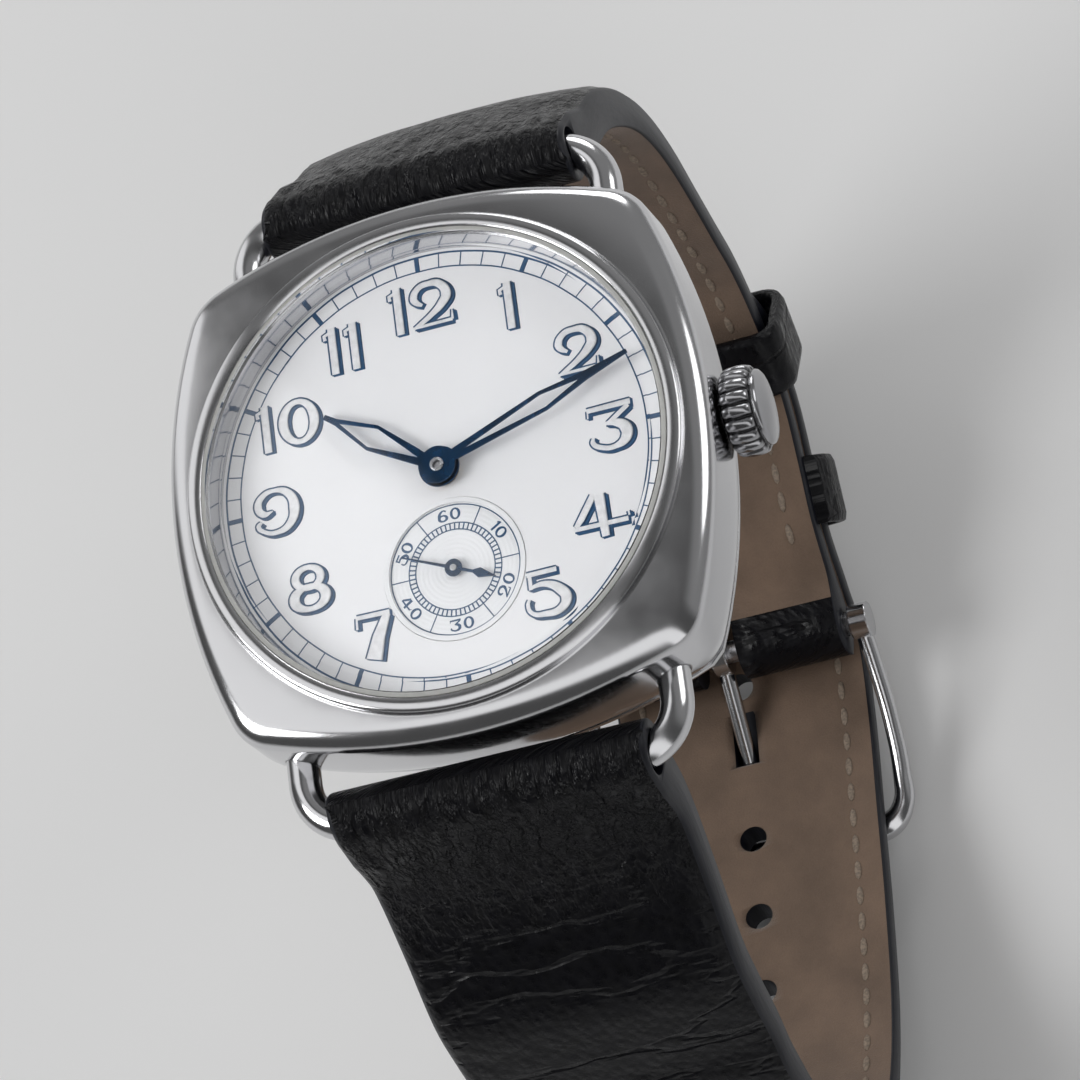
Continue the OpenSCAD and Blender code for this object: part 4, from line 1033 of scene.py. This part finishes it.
keepers = {
    "fixed": {"place": (13.9, -44.0), "turn": -161.0, "closed": False,
              "body": "case", "node": "keeper_fixed"},
    "free": {"place": (22.45, -38.87), "turn": -129.6, "closed": True,
             "body": "loop_free", "node": "keeper_free"},
}
loop = {"halfInner": 9.42, "low": -1.68, "high": 3.8, "thick": 0.9, "width": 4.7, "corner": 0.95,
        "round": 0.38, "around": 132, "section": 24, "stripFoot": -0.45, "tuck": 0.55, "tuckFrom": 1.5,
        "tuckRun": 1.9, "wave": 0.010, "waveCells": (0.12, 0.3), "mapStep": (0.4, 0.5),
        "mapStart": (3, 40)}


def loopRun(share, closed):  # place and outward side, from foot to foot
    half = loop["thick"] / 2
    r = loop["corner"] + half
    halfX, high = loop["halfInner"] + half, loop["high"] + half
    low = loop["low"] - half if closed else loop["stripFoot"]
    bend, side, flat = math.pi / 2 * r, high - low - r, halfX - r
    runs = [flat, bend, side - r, bend, flat] if closed else [0, 0, side, bend, flat]
    d = sum(runs) - abs(2 * share - 1) * sum(runs)  # measured from the foot of either side
    mirror = 1 if share < 0.5 else -1
    index = 0
    while index < 4 and d > runs[index]:
        d -= runs[index]
        index += 1
    if index == 0:
        place, out = (d, low), (0, -1)
    elif index == 2:
        place, out = (halfX, low + (r if closed else 0) + d), (1, 0)
    elif index == 4:
        place, out = (halfX - r - d, high), (0, 1)
    else:  # the lower or the upper corner
        a = d / r - (math.pi / 2 if index == 1 else 0)
        out = (math.cos(a), math.sin(a))
        place = (halfX - r + r * out[0], (low + r if index == 1 else high - r) + r * out[1])
    tucked = 0.0 if closed else within((loop["tuckFrom"] - place[1]) / loop["tuckRun"])
    inward = loop["tuck"] * tucked ** 1.5
    return Vector((mirror * (place[0] - inward), place[1])), Vector((mirror * out[0], out[1]))


def bandSection(k):  # a rounded rectangle: across the width, through the skin
    a = 2 * math.pi * (k + 0.5) / loop["section"]
    halfT, halfW, r = loop["thick"] / 2, loop["width"] / 2, loop["round"]
    c, s = math.cos(a), math.sin(a)
    scale = min(1 / max(abs(c), 1e-6), 1 / max(abs(s), 1e-6))
    x, y = c * scale * halfW, s * scale * halfT
    cx, cy = within(x, r - halfW, halfW - r), within(y, r - halfT, halfT - r)
    dx, dy = x - cx, y - cy
    if abs(dx) > 1e-6 and abs(dy) > 1e-6:
        size = math.hypot(dx, dy)
        return cx + dx / size * r, cy + dy / size * r
    return x, y


def makeKeeper(name, settings):
    around, section, closed = loop["around"], loop["section"], settings["closed"]
    mesh, spots, uvs = newGrid(around, section, True)
    for face in mesh.faces:
        for corner in face.loops:
            corner[uvs].uv = [spot * step + start for spot, step, start
                              in zip(spots[corner.vert], loop["mapStep"], loop["mapStart"])]
    stand = tilted(settings["place"], math.radians(settings["turn"]))
    for vert, (i, j) in spots.items():
        share = (i % around) / around if closed else min(i / around, 1.0 - 1e-7)
        place, out = loopRun(share, closed)
        w, t = bandSection(j % section)
        wave = noiseAt(i, j, loop["waveCells"], settings["turn"]) * loop["wave"]
        spot = place + out * (t - abs(wave))
        vert.co = stand @ Vector((spot[0] * mm, w * mm, spot[1] * mm))
    closeSkin(mesh, 0.004)
    obj = makeObject(name, mesh, [finishes["leather"]])
    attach(obj, settings["body"])
    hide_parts(settings["node"])


for name, settings in keepers.items():
    makeKeeper("keeper_leather_" + name, settings)
print("keepers made")


# Case: one smooth skin from the lip to the back, its plan corners rounded

shell = {"half": 17.0, "bow": 37.0, "corner": 3.2, "sideShare": 0.6, "low": 1.4, "top": 7.95,
         "lipFoot": 15.55, "shoulderIn": 1.25, "shoulderDrop": 1.05, "dome": 0.42, "domeReach": 4.2,
         "bellyIn": 0.9, "bellyHeight": 2.3, "around": 288, "shoulderRings": 18, "crowding": 1.7,
         "bellyRings": 9, "sharp": 38}
sockets = {"depth": 8, "tube": (16.75, 0, 3.6), "tubeRadius": 1.23, "wire": (11.62, 17.2, 3.9),
           "wireRadius": 1.03}
# Radius and height of each ring: over the lip, then down the bore
lipRun = [(15.5, 8.2), (15.48, 8.28), (15.42, 8.36), (15.33, 8.4), (14.75, 8.4), (14.65, 8.37), (14.6, 8.3)]
innerRun = [(14.6, 6.55), (14.3, 6.55), (14.3, 6.03), (14.75, 6.03), (14.75, 1.4)]


def wrapGrid(name, across, along, material, placeAt):
    mesh, spots, _ = newGrid(across, along)
    for vert, (i, j) in spots.items():
        vert.co = placeAt(i % across, j) * mm
    closeSkin(mesh, 0.002)
    return makeObject(name, mesh, [material])


def shellPlan(share, inset):  # four bowed sides joined by round corners
    bow, corner, away = shell["bow"] - inset, shell["corner"], shell["bow"] - shell["half"]
    reach = (math.sqrt((bow - corner) ** 2 - away ** 2 / 2) - away / math.sqrt(2)) / math.sqrt(2)
    seam = math.atan2(reach, reach + away)
    quarter, u = divmod(share * 4, 1)
    side = shell["sideShare"]
    if u < side:
        a = seam * (2 * u / side - 1)
        place = Vector((bow * math.cos(a) - away, bow * math.sin(a)))
    else:
        a = seam + (math.pi / 2 - 2 * seam) * (u - side) / (1 - side)
        place = Vector((reach + corner * math.cos(a), reach + corner * math.sin(a)))
    place.rotate(Matrix.Rotation(quarter * math.pi / 2, 2))
    return place


def makeShell():
    belly, around = shell["bellyRings"], shell["around"]
    rows = [("disc", radius, z) for radius, z in lipRun + innerRun]
    for k in range(belly + 1):
        a = math.pi / 2 * k / belly
        z = shell["low"] + shell["bellyHeight"] * (1 - math.cos(a))
        rows.append(("plan", shell["bellyIn"] * (1 - math.sin(a)), z))
    for k in range(shell["shoulderRings"] + 1):
        rows.append(("face", (k / shell["shoulderRings"]) ** shell["crowding"], 0))

    def placeAt(i, j):
        kind, value, z = rows[j % len(rows)]
        share = i / around
        rim = shellPlan(share, value if kind == "plan" else 0.0)
        if kind == "plan":
            return rim.to_3d() + Vector((0, 0, z))
        if kind == "disc":
            return (rim.normalized() * value).to_3d() + Vector((0, 0, z))
        span = rim.length - shell["lipFoot"]
        left = max(0.0, 1 - value * span / shell["shoulderIn"])
        drop = shell["shoulderDrop"] * (1 - math.sqrt(1 - left ** 2))
        drop += shell["dome"] * ((1 - value) * span / shell["domeReach"]) ** 2
        return (rim - rim.normalized() * span * value).to_3d() + Vector((0, 0, shell["top"] - drop))

    def cutSockets(mesh):
        addCylinder(mesh, sockets["tubeRadius"], sockets["depth"], acrossAt(*sockets["tube"]))
        x, y, z = sockets["wire"]
        upright = Matrix.Rotation(math.pi / 2, 4, "X")
        for place in ((-x, -y, z), (-x, y, z), (x, -y, z), (x, y, z)):
            addCylinder(mesh, sockets["wireRadius"], sockets["depth"], moved(*place) @ upright)

    obj = wrapGrid("case_shell", around, len(rows), finishes["steel"], placeAt)
    cutAway(obj, cutSockets, 0)
    obj.data.set_sharp_from_angle(angle=math.radians(shell["sharp"]))
    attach(obj, "case")
    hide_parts("case_middle")


makeShell()
print("case made")


# Crown: rounded flutes on a barrel, a groove and a low domed cap.
# Each row is height, radius and share of the flutes.

crownLow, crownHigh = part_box("crown")
crownRadius = (crownHigh[1] - crownLow[1]) / 2
crown = {"flutes": 18, "depth": 0.40, "steps": 14, "grow": 1.05, "growFrom": 2, "grooveIn": 0.12,
         "capAt": 1.95, "sharp": 48}
# the crown's steel is the case's steel made darker, as painted shade; its dark colour is the painted shade
# in the grooves
crownSteel = {**steel, "color": (0.40, 0.40, 0.415), "dark": (0.064, 0.064, 0.0664),
              "grooveEdges": (-0.1, 0.06), "capEdge": 0.05}
crownRows = [(2.6, 0, 0), (2.59, 0.4, 0), (2.54, 0.9, 0), (2.46, 1.4, 0), (2.37, 1.8, 0), (2.29, 2.02, 0),
             (2.2, 2.13, 0), (2.1, 2.17, 0), (2.0, 2.17, 0), (1.97, 2.08, 0), (1.91, 2.08, 0),
             (1.89, 2.2, 0.2), (1.84, 2.36, 0.6), (1.74, 2.48, 1), (1.5, 2.56, 1), (1.1, 2.6, 1),
             (0.7, 2.59, 1), (0.35, 2.52, 1), (0.15, 2.42, 0.8), (0.04, 2.26, 0.4), (0, 2.05, 0),
             (0, 1.32, 0), (1.25, 1.32, 0), (1.25, 0.61, 0), (1.7, 0.61, 0), (1.7, 0, 0)]


def makeCrown():
    across = crown["flutes"] * crown["steps"]
    height = jointPlace["crown_spin"][2]
    material = flutedSteel("steelFluted", crownSteel, height, crownRadius - crown["grooveIn"] * mm,
                           crownLow[0] + crown["capAt"] * mm)

    def placeAt(i, j):
        along, radius, share = crownRows[j]
        swing = 2 * (i % crown["steps"]) / crown["steps"] - 1
        radius = radius * crown["grow"] if radius > crown["growFrom"] else radius
        radius -= share * crown["depth"] * abs(swing) ** 3
        a = 2 * math.pi * i / across
        return Vector((crownLow[0] / mm + along, radius * math.cos(a), height / mm + radius * math.sin(a)))

    obj = wrapGrid("crown_fluted", across, len(crownRows) - 1, material, placeAt)
    obj.data.set_sharp_from_angle(angle=math.radians(crown["sharp"]))
    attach(obj, "crown_and_stem")
    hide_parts("crown")


makeCrown()
print("crown made")


# Buckle: a slim bent bow between two eyes; each point is across, along, outward and radius

bowPoints = [(9.95, 0, 0, 0.6), (10.2, 3.4, 0.25, 0.56), (10.35, 7.0, 0.4, 0.56),
             (10.25, 10.6, 0.3, 0.62), (9.85, 12.8, 0.1, 0.74), (8.7, bowLength, 0, 0.92),
             (6.5, bowLength, 0, 0.95), (0, bowLength, 0, 0.95)]
buckle = {"eyePlace": 10.0, "eyeRadius": 1.2, "eyeLength": 1.3, "boreRadius": 0.79, "boreLength": 20.7,
          "roundness": 6, "facets": 48, "sharp": 40}


def makeBow():
    stand = buckleFrame()
    otherHalf = [(-x, along, out, radius) for x, along, out, radius in reversed(bowPoints[:-1])]
    points = [(*(stand @ (Vector(place) * mm) / mm), radius) for *place, radius in bowPoints + otherHalf]
    curve = newStrokes("bow", buckle["roundness"])
    addStroke(curve, points)
    mesh = meshOfCurve(curve)
    for side in (-buckle["eyePlace"], buckle["eyePlace"]):
        addCylinder(mesh, buckle["eyeRadius"], buckle["eyeLength"], acrossAt(side, *pin), buckle["facets"])
    closeSkin(mesh, 0.002)
    obj = makeObject("buckle_bow", mesh, [finishes["steel"]])

    def cutBore(cutter):
        addCylinder(cutter, buckle["boreRadius"], buckle["boreLength"], acrossAt(0, *pin), buckle["facets"])

    cutAway(obj, cutBore, 0)
    obj.data.set_sharp_from_angle(angle=math.radians(buckle["sharp"]))
    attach(obj, "buckle")
    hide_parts("buckle_frame")


makeBow()
print("buckle made")
